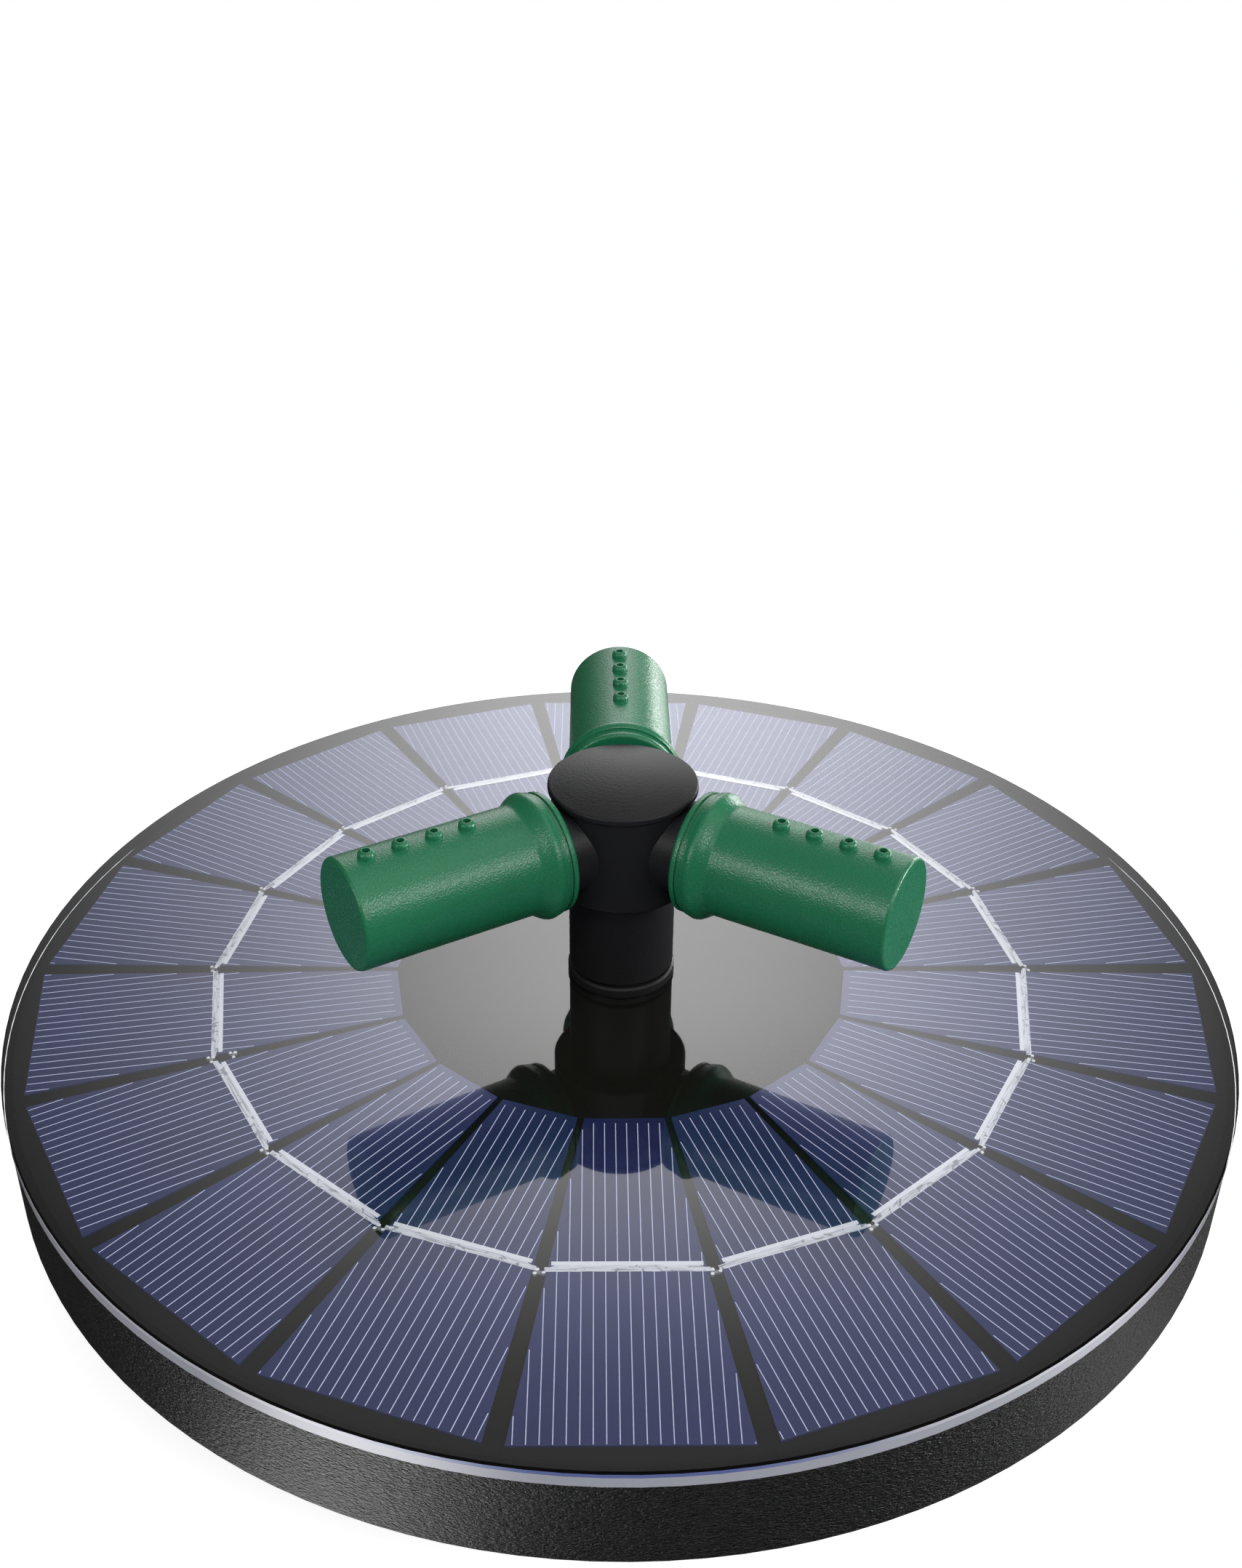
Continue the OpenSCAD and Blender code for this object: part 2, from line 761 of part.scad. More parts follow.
// Pump casing: round chamber, inlet with three spokes, and the outlet tube in one piece
module volute_cover() {
  holder_r = bush_r + seat_gap + bush_holder_wall;
  inlet_r = inlet_d / 2;
  color("#2a2a2c")
    difference() {
      union() {
        difference() {
          union() {
            on_pump_axis(casing_y) cylinder(r = chamber_r + casing_wall, h = face_y - casing_y);
            on_pump_axis(face_y - flange_h) cylinder(r = flange_r, h = flange_h);
            on_pump_axis(inlet_y) cylinder(r = inlet_r + inlet_wall, h = inlet_rise);
            translate([0, 0, pump_z]) cylinder(r = tube_r, h = tube_top_z - pump_z);
          }
          on_pump_axis(-chamber_front) cylinder(r = chamber_r, h = face_y + chamber_front + over);
          on_pump_axis(inlet_y - over) cylinder(r = inlet_r, h = inlet_rise + casing_wall + 2 * over);
        }
        on_pump_axis(inlet_y) cylinder(r = holder_r, h = bush_len);
        on_pump_axis(inlet_y)
          for (i = [0:2])
            rotate([0, 0, 90 + 120 * i])
              translate([bush_r + seat_gap, -spoke_w / 2, 0])
                cube([inlet_r + inlet_wall / 2 - bush_r - seat_gap, spoke_w, bush_len]);
      }
      on_pump_axis(inlet_y - over) cylinder(r = bush_r + seat_gap, h = bush_len + 2 * over);
      translate([0, 0, pump_z]) cylinder(d = tube_bore_d, h = tube_top_z - pump_z + over);
      translate([0, 0, stem_ring_z]) seal_groove(tube_r + run_gap, ring_wire);
    }
}

module volute_o_ring() {
  color("#101010")
    on_pump_axis(boss_y + boss_h / 2) seal_ring(chamber_r, volute_wire);
}

// Motor shell, rotor cup and mounting bridge in one moulding
module motor_housing() {
  socket_outer = bush_r + seat_gap + bush_holder_wall;
  color("#2a2a2c")
    difference() {
      union() {
        difference() {
          union() {
            on_pump_axis(boss_y) cylinder(r = chamber_r - run_gap, h = boss_h);
            on_pump_axis(face_y) cylinder(r = flange_r, h = flange_h);
            on_pump_axis(face_y) cylinder(r = motor_r, h = shell_end_y - face_y);
            translate([pump_x - pillar_x / 2, bridge_start_y, pump_z])
              cube([pillar_x, bridge_y, bridge_z - pump_z]);
            translate([pump_x - bridge_x / 2, bridge_start_y, bridge_z])
              cube([bridge_x, bridge_y, bridge_h]);
          }
          on_pump_axis(face_y + flange_h)
            cylinder(r = shell_r, h = shell_end_y - face_y - flange_h + over);
          on_pump_axis(boss_y + boss_h / 2) seal_groove(chamber_r, volute_wire);
        }
        on_pump_axis(boss_y) cylinder(r = cup_r + cup_wall, h = cup_end_y + cup_wall - boss_y);
      }
      on_pump_axis(boss_y - over) cylinder(r = cup_r, h = cup_end_y - bush_len - boss_y + over);
      on_pump_axis(cup_end_y - bush_len - over)
        cylinder(r = bush_r + seat_gap, h = bush_len + over);
      at_screws() drill(screw_d / 2 + screw_room, bridge_z, plate_z);
      at_pins() drill(pin_d / 2 + pin_room, pump_z + pin_drop, plate_z);
    }
}

module rear_cover() {
  lip_r = shell_r - seat_gap;
  color("#2f2f31") {
    on_pump_axis(shell_end_y) cylinder(r = motor_r, h = rear_h);
    on_pump_axis(shell_end_y - rear_lip_h)
      tube(lip_r, lip_r - rear_lip_w, rear_lip_h + rear_h / 2);
  }
}

// Stator iron: a ring with teeth that end in wide shoes round the rotor cup
module stator_core() {
  color("#8d9196")
    on_pump_axis(core_y)
      linear_extrude(core_len)
        difference() {
          union() {
            difference() {
              circle(r = core_r);
              circle(r = yoke_r);
            }
            for (i = [0:tooth_count - 1])
              rotate(360 * i / tooth_count) {
                translate([tooth_r, -tooth_w / 2]) square([tooth_len + yoke_w / 2, tooth_w]);
                translate([0, -shoe_w / 2]) square([tooth_r + shoe_h, shoe_w]);
              }
          }
          circle(r = tooth_r);
        }
}

module stator_coils() {
  inner_w = tooth_w + 2 * seat_gap;
  inner_len = core_len + 2 * seat_gap;
  start_r = tooth_r + shoe_h + seat_gap;
  color("#b5652b")
    on_pump_axis(core_y - seat_gap)
      for (i = [0:tooth_count - 1])
        rotate([0, 0, 360 * i / tooth_count])
          translate([start_r, 0, 0])
            difference() {
              translate([0, -inner_w / 2 - coil_w, -coil_w])
                cube([coil_h, inner_w + 2 * coil_w, inner_len + 2 * coil_w]);
              translate([-over, -inner_w / 2, 0])
                cube([coil_h + 2 * over, inner_w, inner_len]);
            }
}

module driver_board() {
  color("#2f6b3c") on_pump_axis(driver_y) cylinder(r = shell_r - loose_gap, h = driver_h);
}

module power_pins() {
  color("#c8b070")
    at_pins()
      translate([0, 0, pump_z + pin_drop])
        cylinder(d = pin_d, h = panel_z - pump_z - pin_drop, $fn = 32);
}

module pump_shaft() {
  color("#e8e6e0")
    on_pump_axis(shaft_start_y) cylinder(r = shaft_r, h = shaft_end_y - shaft_start_y);
}

// A rubber cup that holds one end of the shaft
module shaft_bush() {
  difference() {
    cylinder(r = bush_r, h = bush_len - seat_gap);
    translate([0, 0, bush_end - seat_gap]) cylinder(r = shaft_r + seat_gap / 2, h = bush_len);
  }
}

module shaft_bush_front() {
  color("#141414") on_pump_axis(inlet_y) shaft_bush();
}

module shaft_bush_rear() {
  color("#141414") on_pump_axis(cup_end_y) mirror([0, 0, 1]) shaft_bush();
}

// Impeller with swept blades on one shroud, and the sleeve that carries the magnet
module impeller() {
  sleeve_h = magnet_y + magnet_len - blade_y;
  color("#e4e4e0")
    difference() {
      union() {
        on_pump_axis(shroud_y) cylinder(r = impeller_r, h = shroud_h);
        on_pump_axis(blade_y) cylinder(r = hub_r, h = sleeve_h);
        on_pump_axis(shroud_y) cylinder(r = hub_r + hub_wall, h = magnet_y - shroud_y);
        on_pump_axis(blade_y)
          linear_extrude(blade_h + shroud_h / 2)
            intersection() {
              circle(r = impeller_r);
              for (i = [0:blade_count - 1])
                rotate(360 * i / blade_count)
                  intersection() {
                    translate([0, impeller_r - blade_w / 2])
                      difference() {
                        circle(r = impeller_r);
                        circle(r = impeller_r - blade_w);
                      }
                    square(impeller_r);
                  }
            }
      }
      on_pump_axis(blade_y - over) cylinder(r = shaft_r + run_gap, h = sleeve_h + 2 * over);
    }
}

module rotor_magnet() {
  color("#3b3b40")
    on_pump_axis(magnet_y) tube(magnet_r, hub_r + seat_gap / 2, magnet_len);
}

top_cover();
solar_cells();
tabbing_ribbons();
solder_joints();
backing_board();
float_ring();
outlet_collar();
outlet_grommet();
stem_o_ring();
stem_sleeve();
swivel_o_ring();
manifold();
manifold_cap();
spray_arm(left_az);  // spray_arm_left
spray_arm(right_az);  // spray_arm_right
spray_arm(back_az);  // spray_arm_back
arm_o_ring(left_az);  // arm_o_ring_left
arm_o_ring(right_az);  // arm_o_ring_right
arm_o_ring(back_az);  // arm_o_ring_back
mount_plate();
plate_gasket();
mounting_screws();
strainer_basket();
volute_cover();
volute_o_ring();
motor_housing();
rear_cover();
stator_core();
stator_coils();
driver_board();
power_pins();
pump_shaft();
shaft_bush_front();
shaft_bush_rear();
impeller();
rotor_magnet();
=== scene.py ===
"""Looks of a floating solar fountain pump: a round panel of 18 wedge cells under a clear moulded
cover, a ring of black foam, and a black spray head with three green arms.
All lengths are in metres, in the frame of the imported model."""

import math

import bmesh
import bpy
from mathutils import Matrix, Vector, noise


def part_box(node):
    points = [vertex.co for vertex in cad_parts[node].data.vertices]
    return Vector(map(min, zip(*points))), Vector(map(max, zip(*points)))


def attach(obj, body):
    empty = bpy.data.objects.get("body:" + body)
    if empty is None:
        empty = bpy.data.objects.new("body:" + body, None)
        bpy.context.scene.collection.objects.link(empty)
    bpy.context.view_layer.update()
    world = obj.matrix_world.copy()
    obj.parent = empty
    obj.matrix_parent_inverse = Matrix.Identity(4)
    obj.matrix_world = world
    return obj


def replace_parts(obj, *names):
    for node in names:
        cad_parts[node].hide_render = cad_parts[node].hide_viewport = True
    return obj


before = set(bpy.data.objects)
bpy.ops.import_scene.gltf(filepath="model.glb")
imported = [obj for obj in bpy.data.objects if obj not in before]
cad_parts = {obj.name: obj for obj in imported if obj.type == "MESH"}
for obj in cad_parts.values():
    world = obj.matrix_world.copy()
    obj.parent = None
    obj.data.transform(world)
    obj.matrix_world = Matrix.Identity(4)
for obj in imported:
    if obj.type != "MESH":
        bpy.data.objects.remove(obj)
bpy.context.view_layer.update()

MM = 0.001

# Blender's wave pattern comes back every 0.31 units at a scale of 1
WAVE_STEP = 0.31

# Cells and ribbons, as the panel carries them
CELLS = 18
CELL_STEP = 2 * math.pi / CELLS
CELL_IN = 33.5 * MM
CELL_OUT = 85.97 * MM
GAP_IN = 0.9 * MM
GAP_OUT = 2.6 * MM
RIBBON_R = 60.15 * MM
RIBBON_W = 1.6 * MM
JOINT_R = 61.89 * MM
TERMINAL_GAP = 3
TERMINAL_PITCH = 3.1 * MM

# Clear cover: inner face of its wall, and height of the clear band along the wall's upper edge
COVER_WALL_R = 88.72 * MM
COVER_CLEAR_H = 0.8 * MM
COVER_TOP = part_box("top_cover")[1].z

CELL_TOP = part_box("solar_cells")[1].z


def linear(code):
    """A colour written as sRGB hex, as Blender's linear red, green, blue and alpha."""
    shares = [int(code[i : i + 2], 16) / 255 for i in (1, 3, 5)]
    return [s / 12.92 if s <= 0.04045 else ((s + 0.055) / 1.055) ** 2.4 for s in shares] + [1.0]


def add(tree, kind, sockets=None, **settings):
    """Adds a node. A socket's value is a plain value, or another node's output to link from."""
    node = tree.nodes.new("ShaderNode" + kind)
    for name, value in settings.items():
        setattr(node, name, value)
    for key, value in (sockets or {}).items():
        if isinstance(value, bpy.types.NodeSocket):
            tree.links.new(value, node.inputs[key])
        else:
            node.inputs[key].default_value = value
    return node


def new_finish(name):
    """An empty material and its tree."""
    finish = bpy.data.materials.new(name)
    finish.use_nodes = True
    finish.node_tree.nodes.clear()
    return finish, finish.node_tree


def show(tree, shader):
    """Makes a shader what the material shows."""
    add(tree, "OutputMaterial", {"Surface": shader.outputs[0]})


# Plastics of the spray head


def moulded_abs_green():
    """ABS, injection moulded in a spark-eroded mould: satin green whose grain glints in the lights on its
    crests and is duller in its pits. Its colour is painted darker in the pits and lighter on the crests, as
    painted shade and light on the grain.
    The real grain is about 0.15 mm and is drawn at 0.26 mm, so that it shows. Sharp corners are
    shaded as if rounded by 0.12 mm."""
    finish, tree = new_finish("moulded_abs_green")
    place = add(tree, "TexCoord").outputs["Object"]
    grain = add(tree, "TexNoise", {"Vector": place, "Scale": 1 / (0.26 * MM), "Detail": 1.0,
                                   "Roughness": 0.6})
    cloud = add(tree, "TexNoise", {"Vector": place, "Scale": 1 / (7 * MM), "Detail": 2.0})
    shade = add(tree, "Mix", {"Factor": cloud.outputs["Fac"], 6: linear("#186a46"),
                              7: linear("#1c724c")}, data_type="RGBA")
    # Painted shade and light: the grain's pits are painted darker and its crests lighter
    painted_grain_shade_and_light = add(tree, "MapRange", {"Value": grain.outputs["Fac"], "From Min": 0.35, "From Max": 0.65,
                                 "To Min": 0.9, "To Max": 1.07})
    speckled_with_painted_shade = add(tree, "VectorMath", {0: shade.outputs[2], "Scale": painted_grain_shade_and_light.outputs["Result"]},
                   operation="SCALE")
    matt = add(tree, "MapRange", {"Value": grain.outputs["Fac"], "From Min": 0.35, "From Max": 0.65,
                                  "To Min": 0.36, "To Max": 0.24})
    corner = add(tree, "Bevel", {"Radius": 0.12 * MM}, samples=6)
    bump = add(tree, "Bump", {"Height": grain.outputs["Fac"], "Strength": 1.0,
                              "Distance": 0.06 * MM, "Normal": corner.outputs["Normal"]})
    abs_green = add(tree, "BsdfPrincipled", {
        "Base Color": speckled_with_painted_shade.outputs[0], "Roughness": matt.outputs["Result"], "IOR": 1.53,
        "Normal": bump.outputs["Normal"]})
    show(tree, abs_green)
    return finish


def moulded_abs_black():
    """Black ABS from a mould with the same fine grain: nearly matte, with broad soft highlights and a
    thin light line along its corners, which are shaded as if rounded by 0.2 mm. The real grain is
    about 0.15 mm and is drawn at 0.35 mm, so that it shows."""
    finish, tree = new_finish("moulded_abs_black")
    place = add(tree, "TexCoord").outputs["Object"]
    grain = add(tree, "TexNoise", {"Vector": place, "Scale": 1 / (0.35 * MM), "Detail": 2.0})
    cloud = add(tree, "TexNoise", {"Vector": place, "Scale": 1 / (9 * MM), "Detail": 2.0})
    shade = add(tree, "Mix", {"Factor": cloud.outputs["Fac"], 6: linear("#18181a"),
                              7: linear("#1e1e20")}, data_type="RGBA")
    corner = add(tree, "Bevel", {"Radius": 0.2 * MM}, samples=6)
    bump = add(tree, "Bump", {"Height": grain.outputs["Fac"], "Strength": 1.0,
                              "Distance": 0.035 * MM, "Normal": corner.outputs["Normal"]})
    abs_black = add(tree, "BsdfPrincipled", {
        "Base Color": shade.outputs[2], "Roughness": 0.46, "IOR": 1.53, "Specular IOR Level": 0.26,
        "Normal": bump.outputs["Normal"]})
    show(tree, abs_black)
    return finish


# The panel


def moulded_polycarbonate_clear():
    """Polycarbonate, moulded clear and polished: a mirror that pales towards the far side, over cells that
    show through. Both faces of its thin skin mirror, so one face here stands for two, with an index of 1.9
    for the plastic's 1.585. Its wall looks milky from outside and dark from within. The clear band along
    its top is painted blue where it faces an eye in front of it, a painted stand-in for the cells' light
    that it bends, and pale grey further aside."""
    skin_index = 1.9
    upright_below = 0.3
    from_in_front = 0.41
    from_aside = 0.5
    finish, tree = new_finish("moulded_polycarbonate_clear")
    place = add(tree, "TexCoord").outputs["Object"]
    inside = add(tree, "NewGeometry").outputs["Backfacing"]
    outer_face = add(tree, "Math", {0: 1.0, 1: inside}, operation="SUBTRACT")
    fresnel = add(tree, "Fresnel", {"IOR": skin_index})
    share = add(tree, "Math", {0: fresnel.outputs[0], 1: outer_face.outputs[0]}, operation="MULTIPLY")
    pane = add(tree, "MixShader", {
        0: share.outputs[0],
        1: add(tree, "BsdfTransparent", {"Color": linear("#fcfdff")}).outputs[0],
        2: add(tree, "BsdfGlossy", {"Color": linear("#ffffff"), "Roughness": 0.03}).outputs[0]})
    axes = add(tree, "SeparateXYZ", {0: place})
    flat = add(tree, "CombineXYZ", {0: axes.outputs[0], 1: axes.outputs[1], 2: 0.0})
    radius = add(tree, "VectorMath", {0: flat.outputs[0]}, operation="LENGTH").outputs["Value"]
    level = add(tree, "SeparateXYZ", {0: add(tree, "NewGeometry").outputs["Normal"]}).outputs[2]
    upright = add(tree, "Math", {0: level, 1: upright_below}, operation="LESS_THAN")
    in_wall = add(tree, "Math", {0: radius, 1: COVER_WALL_R}, operation="GREATER_THAN")
    in_wall = add(tree, "Math", {0: in_wall.outputs[0], 1: upright.outputs[0]}, operation="MULTIPLY")
    # Painted light: the clear band is painted blue where it faces the eye, for the cells' light that it
    # bends, and pale grey further aside
    facing = add(tree, "LayerWeight", {"Blend": 0.5}).outputs["Facing"]
    aside = add(tree, "MapRange", {"Value": facing, "From Min": from_in_front, "From Max": from_aside})
    band_tone_painted_blue = add(tree, "Mix", {"Factor": aside.outputs["Result"], 6: linear("#5a6596"),
                                  7: linear("#b4b5bd")}, data_type="RGBA")
    clear_part = add(tree, "Math", {0: axes.outputs[2], 1: COVER_TOP - COVER_CLEAR_H},
                     operation="GREATER_THAN")
    tone = add(tree, "Mix", {"Factor": clear_part.outputs[0], 6: linear("#9a9ca6"),
                             7: band_tone_painted_blue.outputs[2]}, data_type="RGBA")
    milky = add(tree, "BsdfPrincipled", {
        "Base Color": tone.outputs[2], "Roughness": 0.12, "IOR": 1.585, "Specular IOR Level": 0.25})
    dark = add(tree, "BsdfDiffuse", {"Color": linear("#101012")})
    wall = add(tree, "MixShader", {0: inside, 1: milky.outputs[0], 2: dark.outputs[0]})
    cover = add(tree, "MixShader", {0: in_wall.outputs[0], 1: pane.outputs[0], 2: wall.outputs[0]})
    show(tree, cover)
    return finish


def coated_silicon():
    """Silicon under a blue anti-reflection coat of silicon nitride, whose high index of 2 lays a
    lavender sheen on it: deep navy, a little unequal across each cell. The etched grain is too fine
    to see and is drawn at 0.35 mm."""
    finish, tree = new_finish("coated_silicon")
    place = add(tree, "TexCoord").outputs["Object"]
    crystal = add(tree, "TexNoise", {"Vector": place, "Scale": 1 / (11 * MM), "Detail": 3.0})
    etch = add(tree, "TexNoise", {"Vector": place, "Scale": 1 / (0.35 * MM), "Detail": 2.0})
    mottle = add(tree, "Math", {0: crystal.outputs["Fac"], 1: etch.outputs["Fac"]}, operation="MULTIPLY")
    shade = add(tree, "MapRange", {"Value": mottle.outputs[0], "From Min": 0.12, "From Max": 0.4})
    navy = add(tree, "Mix", {"Factor": shade.outputs["Result"], 6: linear("#1c2448"),
                             7: linear("#242d58")}, data_type="RGBA")
    silicon = add(tree, "BsdfPrincipled", {
        "Base Color": navy.outputs[2], "Roughness": 0.3, "IOR": 2.0,
        "Specular Tint": linear("#9498dc")})
    show(tree, silicon)
    return finish


def printed_silver():
    """Silver paste, screen printed and fired: a pale lavender grey line, slightly grainy. The real
    grain is too fine to see and is drawn at 0.6 mm."""
    finish, tree = new_finish("printed_silver")
    place = add(tree, "TexCoord").outputs["Object"]
    paste = add(tree, "TexNoise", {"Vector": place, "Scale": 1 / (0.6 * MM), "Detail": 2.0})
    shade = add(tree, "Mix", {"Factor": paste.outputs["Fac"], 6: linear("#cdd2f4"), 7: linear("#eceeff")},
                data_type="RGBA")
    silver = add(tree, "BsdfPrincipled", {
        "Base Color": shade.outputs[2], "Roughness": 0.5, "IOR": 1.5, "Specular IOR Level": 0.3})
    show(tree, silver)
    return finish


def tinned_copper():
    """Copper ribbon dipped in tin: near white, smooth along the inner edge, and beyond it streaked
    lengthwise with dull grey, with a few dents from the soldering iron. Streaks are about 0.25 mm
    wide and 4 mm long."""
    smooth_mm = 0.62
    finish, tree = new_finish("tinned_copper")
    along = add(tree, "TexCoord").outputs["UV"]
    axes = add(tree, "SeparateXYZ", {0: along})
    streak = add(tree, "TexNoise", {"Vector": add(tree, "Mapping", {
        "Vector": along, "Scale": [0.25, 4.0, 1.0]}).outputs[0], "Scale": 1.0, "Detail": 3.0,
        "Distortion": 0.3})
    dent = add(tree, "TexNoise", {"Vector": along, "Scale": 0.55, "Detail": 2.0, "Distortion": 1.5})
    sunk = add(tree, "MapRange", {"Value": dent.outputs["Fac"], "From Min": 0.3, "From Max": 0.42})
    tone = add(tree, "Math", {0: streak.outputs["Fac"], 1: sunk.outputs["Result"]}, operation="MULTIPLY")
    shade = add(tree, "ValToRGB", {0: tone.outputs[0]})
    shade.color_ramp.elements[0].position = 0.3
    shade.color_ramp.elements[0].color = linear("#a6a6ad")
    shade.color_ramp.elements[1].position = 0.52
    shade.color_ramp.elements[1].color = linear("#f0f0f4")
    smooth = add(tree, "Math", {0: axes.outputs[1], 1: smooth_mm}, operation="LESS_THAN")
    tint = add(tree, "Mix", {"Factor": smooth.outputs[0], 6: shade.outputs[0], 7: linear("#fbfbff")},
               data_type="RGBA")
    bump = add(tree, "Bump", {"Height": tone.outputs[0], "Strength": 0.6, "Distance": 0.1 * MM})
    tin = add(tree, "BsdfPrincipled", {
        "Base Color": tint.outputs[2], "Metallic": 0.2, "Roughness": 0.4,
        "Normal": bump.outputs["Normal"]})
    show(tree, tin)
    return finish


def solder_tin():
    """Solder, set from a drop: dull grey where it is thin, and painted white where it stands high, as a
    painted highlight on the drops.
    """
    thin_h = CELL_TOP + 0.05 * MM
    high_h = CELL_TOP + 0.09 * MM
    finish, tree = new_finish("solder_tin")
    place = add(tree, "TexCoord").outputs["Object"]
    flux = add(tree, "TexNoise", {"Vector": place, "Scale": 1 / (0.5 * MM), "Detail": 3.0})
    # Painted highlight: the solder is painted white where it stands high
    painted_highlight_on_high = add(tree, "MapRange", {"Value": add(tree, "SeparateXYZ", {0: place}).outputs[2],
                                  "From Min": thin_h, "From Max": high_h})
    grey = add(tree, "Mix", {"Factor": flux.outputs["Fac"], 6: linear("#5c5c60"), 7: linear("#a8a8ac")},
               data_type="RGBA")
    shade = add(tree, "Mix", {"Factor": painted_highlight_on_high.outputs["Result"], 6: grey.outputs[2],
                              7: linear("#fafafc")}, data_type="RGBA")
    bump = add(tree, "Bump", {"Height": flux.outputs["Fac"], "Strength": 0.6, "Distance": 0.06 * MM})
    solder = add(tree, "BsdfPrincipled", {
        "Base Color": shade.outputs[2], "Metallic": 0.15, "Roughness": 0.35,
        "Normal": bump.outputs["Normal"]})
    show(tree, solder)
    return finish


def black_solder_mask():
    """Circuit board under black solder mask, bonded to the clear cover, so it has no gloss of its own:
    near black, warm between the cells and neutral on the bare rim, with faint clouds."""
    warm_to_r = 80 * MM
    finish, tree = new_finish("black_solder_mask")
    place = add(tree, "TexCoord").outputs["Object"]
    axes = add(tree, "SeparateXYZ", {0: place})
    flat = add(tree, "CombineXYZ", {0: axes.outputs[0], 1: axes.outputs[1], 2: 0.0})
    radius = add(tree, "VectorMath", {0: flat.outputs[0]}, operation="LENGTH").outputs["Value"]
    on_rim = add(tree, "MapRange", {"Value": radius, "From Min": warm_to_r, "From Max": CELL_OUT})
    tone = add(tree, "Mix", {"Factor": on_rim.outputs["Result"], 6: linear("#1f1e17"),
                             7: linear("#161616")}, data_type="RGBA")
    cloud = add(tree, "TexNoise", {"Vector": place, "Scale": 1 / (14 * MM), "Detail": 2.0})
    shade = add(tree, "Mix", {"Factor": cloud.outputs["Fac"], 6: tone.outputs[2],
                              7: linear("#191918")}, data_type="RGBA")
    mask = add(tree, "BsdfDiffuse", {"Color": shade.outputs[2]})
    show(tree, mask)
    return finish


# The float


def eva_foam():
    """Closed-cell EVA foam with a pressed skin: near black, with a leathery grain of ridges about 0.6 mm
    long and 0.3 mm high that lie round the ring and glint where light strikes along them. Its colour is
    painted darker in the grain's hollows and lighter on its ridges, as painted shade."""
    finish, tree = new_finish("eva_foam")
    place = add(tree, "TexCoord").outputs["Object"]
    squat = add(tree, "Mapping", {"Vector": place, "Scale": [1.0, 1.0, 2.2]})
    ridge = add(tree, "TexNoise", {"Vector": squat.outputs[0], "Scale": 1 / (0.62 * MM), "Detail": 2.0,
                                   "Roughness": 0.55, "Distortion": 0.6})
    # Painted shade: the grain's hollows are painted darker than its ridges
    shade = add(tree, "ValToRGB", {0: ridge.outputs["Fac"]})
    shade.color_ramp.elements[0].position = 0.38
    shade.color_ramp.elements[0].color = linear("#040404")
    shade.color_ramp.elements[1].position = 0.6
    shade.color_ramp.elements[1].color = linear("#1a1a1b")
    bump = add(tree, "Bump", {"Height": ridge.outputs["Fac"], "Strength": 1.0, "Distance": 0.95 * MM})
    foam = add(tree, "BsdfPrincipled", {
        "Base Color": shade.outputs[0], "Roughness": 0.45, "IOR": 1.5, "Specular IOR Level": 0.36,
        "Normal": bump.outputs["Normal"]})
    show(tree, foam)
    return finish


# Seals, pump and inner pieces


def moulded_rubber():
    """Nitrile rubber, moulded: dead black with a faint bloom."""
    finish, tree = new_finish("moulded_rubber")
    place = add(tree, "TexCoord").outputs["Object"]
    bloom = add(tree, "TexNoise", {"Vector": place, "Scale": 1 / (1.5 * MM), "Detail": 3.0})
    shade = add(tree, "Mix", {"Factor": bloom.outputs["Fac"], 6: linear("#0e0e0e"), 7: linear("#1b1b1c")},
                data_type="RGBA")
    rubber = add(tree, "BsdfPrincipled", {
        "Base Color": shade.outputs[2], "Roughness": 0.7, "IOR": 1.52})
    show(tree, rubber)
    return finish


def cut_foam_tape():
    """Polyethylene foam tape, die cut: dark grey and open-pored, pores about 0.4 mm."""
    finish, tree = new_finish("cut_foam_tape")
    place = add(tree, "TexCoord").outputs["Object"]
    pore = add(tree, "TexVoronoi", {"Vector": place, "Scale": 1 / (0.4 * MM)})
    shade = add(tree, "Mix", {"Factor": pore.outputs["Distance"], 6: linear("#29292b"),
                              7: linear("#3d3d40")}, data_type="RGBA")
    bump = add(tree, "Bump", {"Height": pore.outputs["Distance"], "Strength": 1.0, "Distance": 0.1 * MM})
    tape = add(tree, "BsdfPrincipled", {
        "Base Color": shade.outputs[2], "Roughness": 0.9, "Normal": bump.outputs["Normal"]})
    show(tree, tape)
    return finish


def moulded_abs_pump():
    """Black ABS of the pump and its basket, from a smoother mould than the head's: faint flow clouds
    6 mm across, and a shallow grain that is drawn at 0.35 mm so that it shows."""
    finish, tree = new_finish("moulded_abs_pump")
    place = add(tree, "TexCoord").outputs["Object"]
    flow = add(tree, "TexNoise", {"Vector": place, "Scale": 1 / (6 * MM), "Detail": 4.0, "Distortion": 1.2})
    texture = add(tree, "TexNoise", {"Vector": place, "Scale": 1 / (0.35 * MM), "Detail": 2.0})
    shade = add(tree, "Mix", {"Factor": flow.outputs["Fac"], 6: linear("#1b1b1d"), 7: linear("#28282a")},
                data_type="RGBA")
    gloss = add(tree, "MapRange", {"Value": flow.outputs["Fac"], "To Min": 0.3, "To Max": 0.44})
    bump = add(tree, "Bump", {"Height": texture.outputs["Fac"], "Strength": 1.0, "Distance": 0.01 * MM})
    abs_pump = add(tree, "BsdfPrincipled", {
        "Base Color": shade.outputs[2], "Roughness": gloss.outputs["Result"], "IOR": 1.53,
        "Normal": bump.outputs["Normal"]})
    show(tree, abs_pump)
    return finish


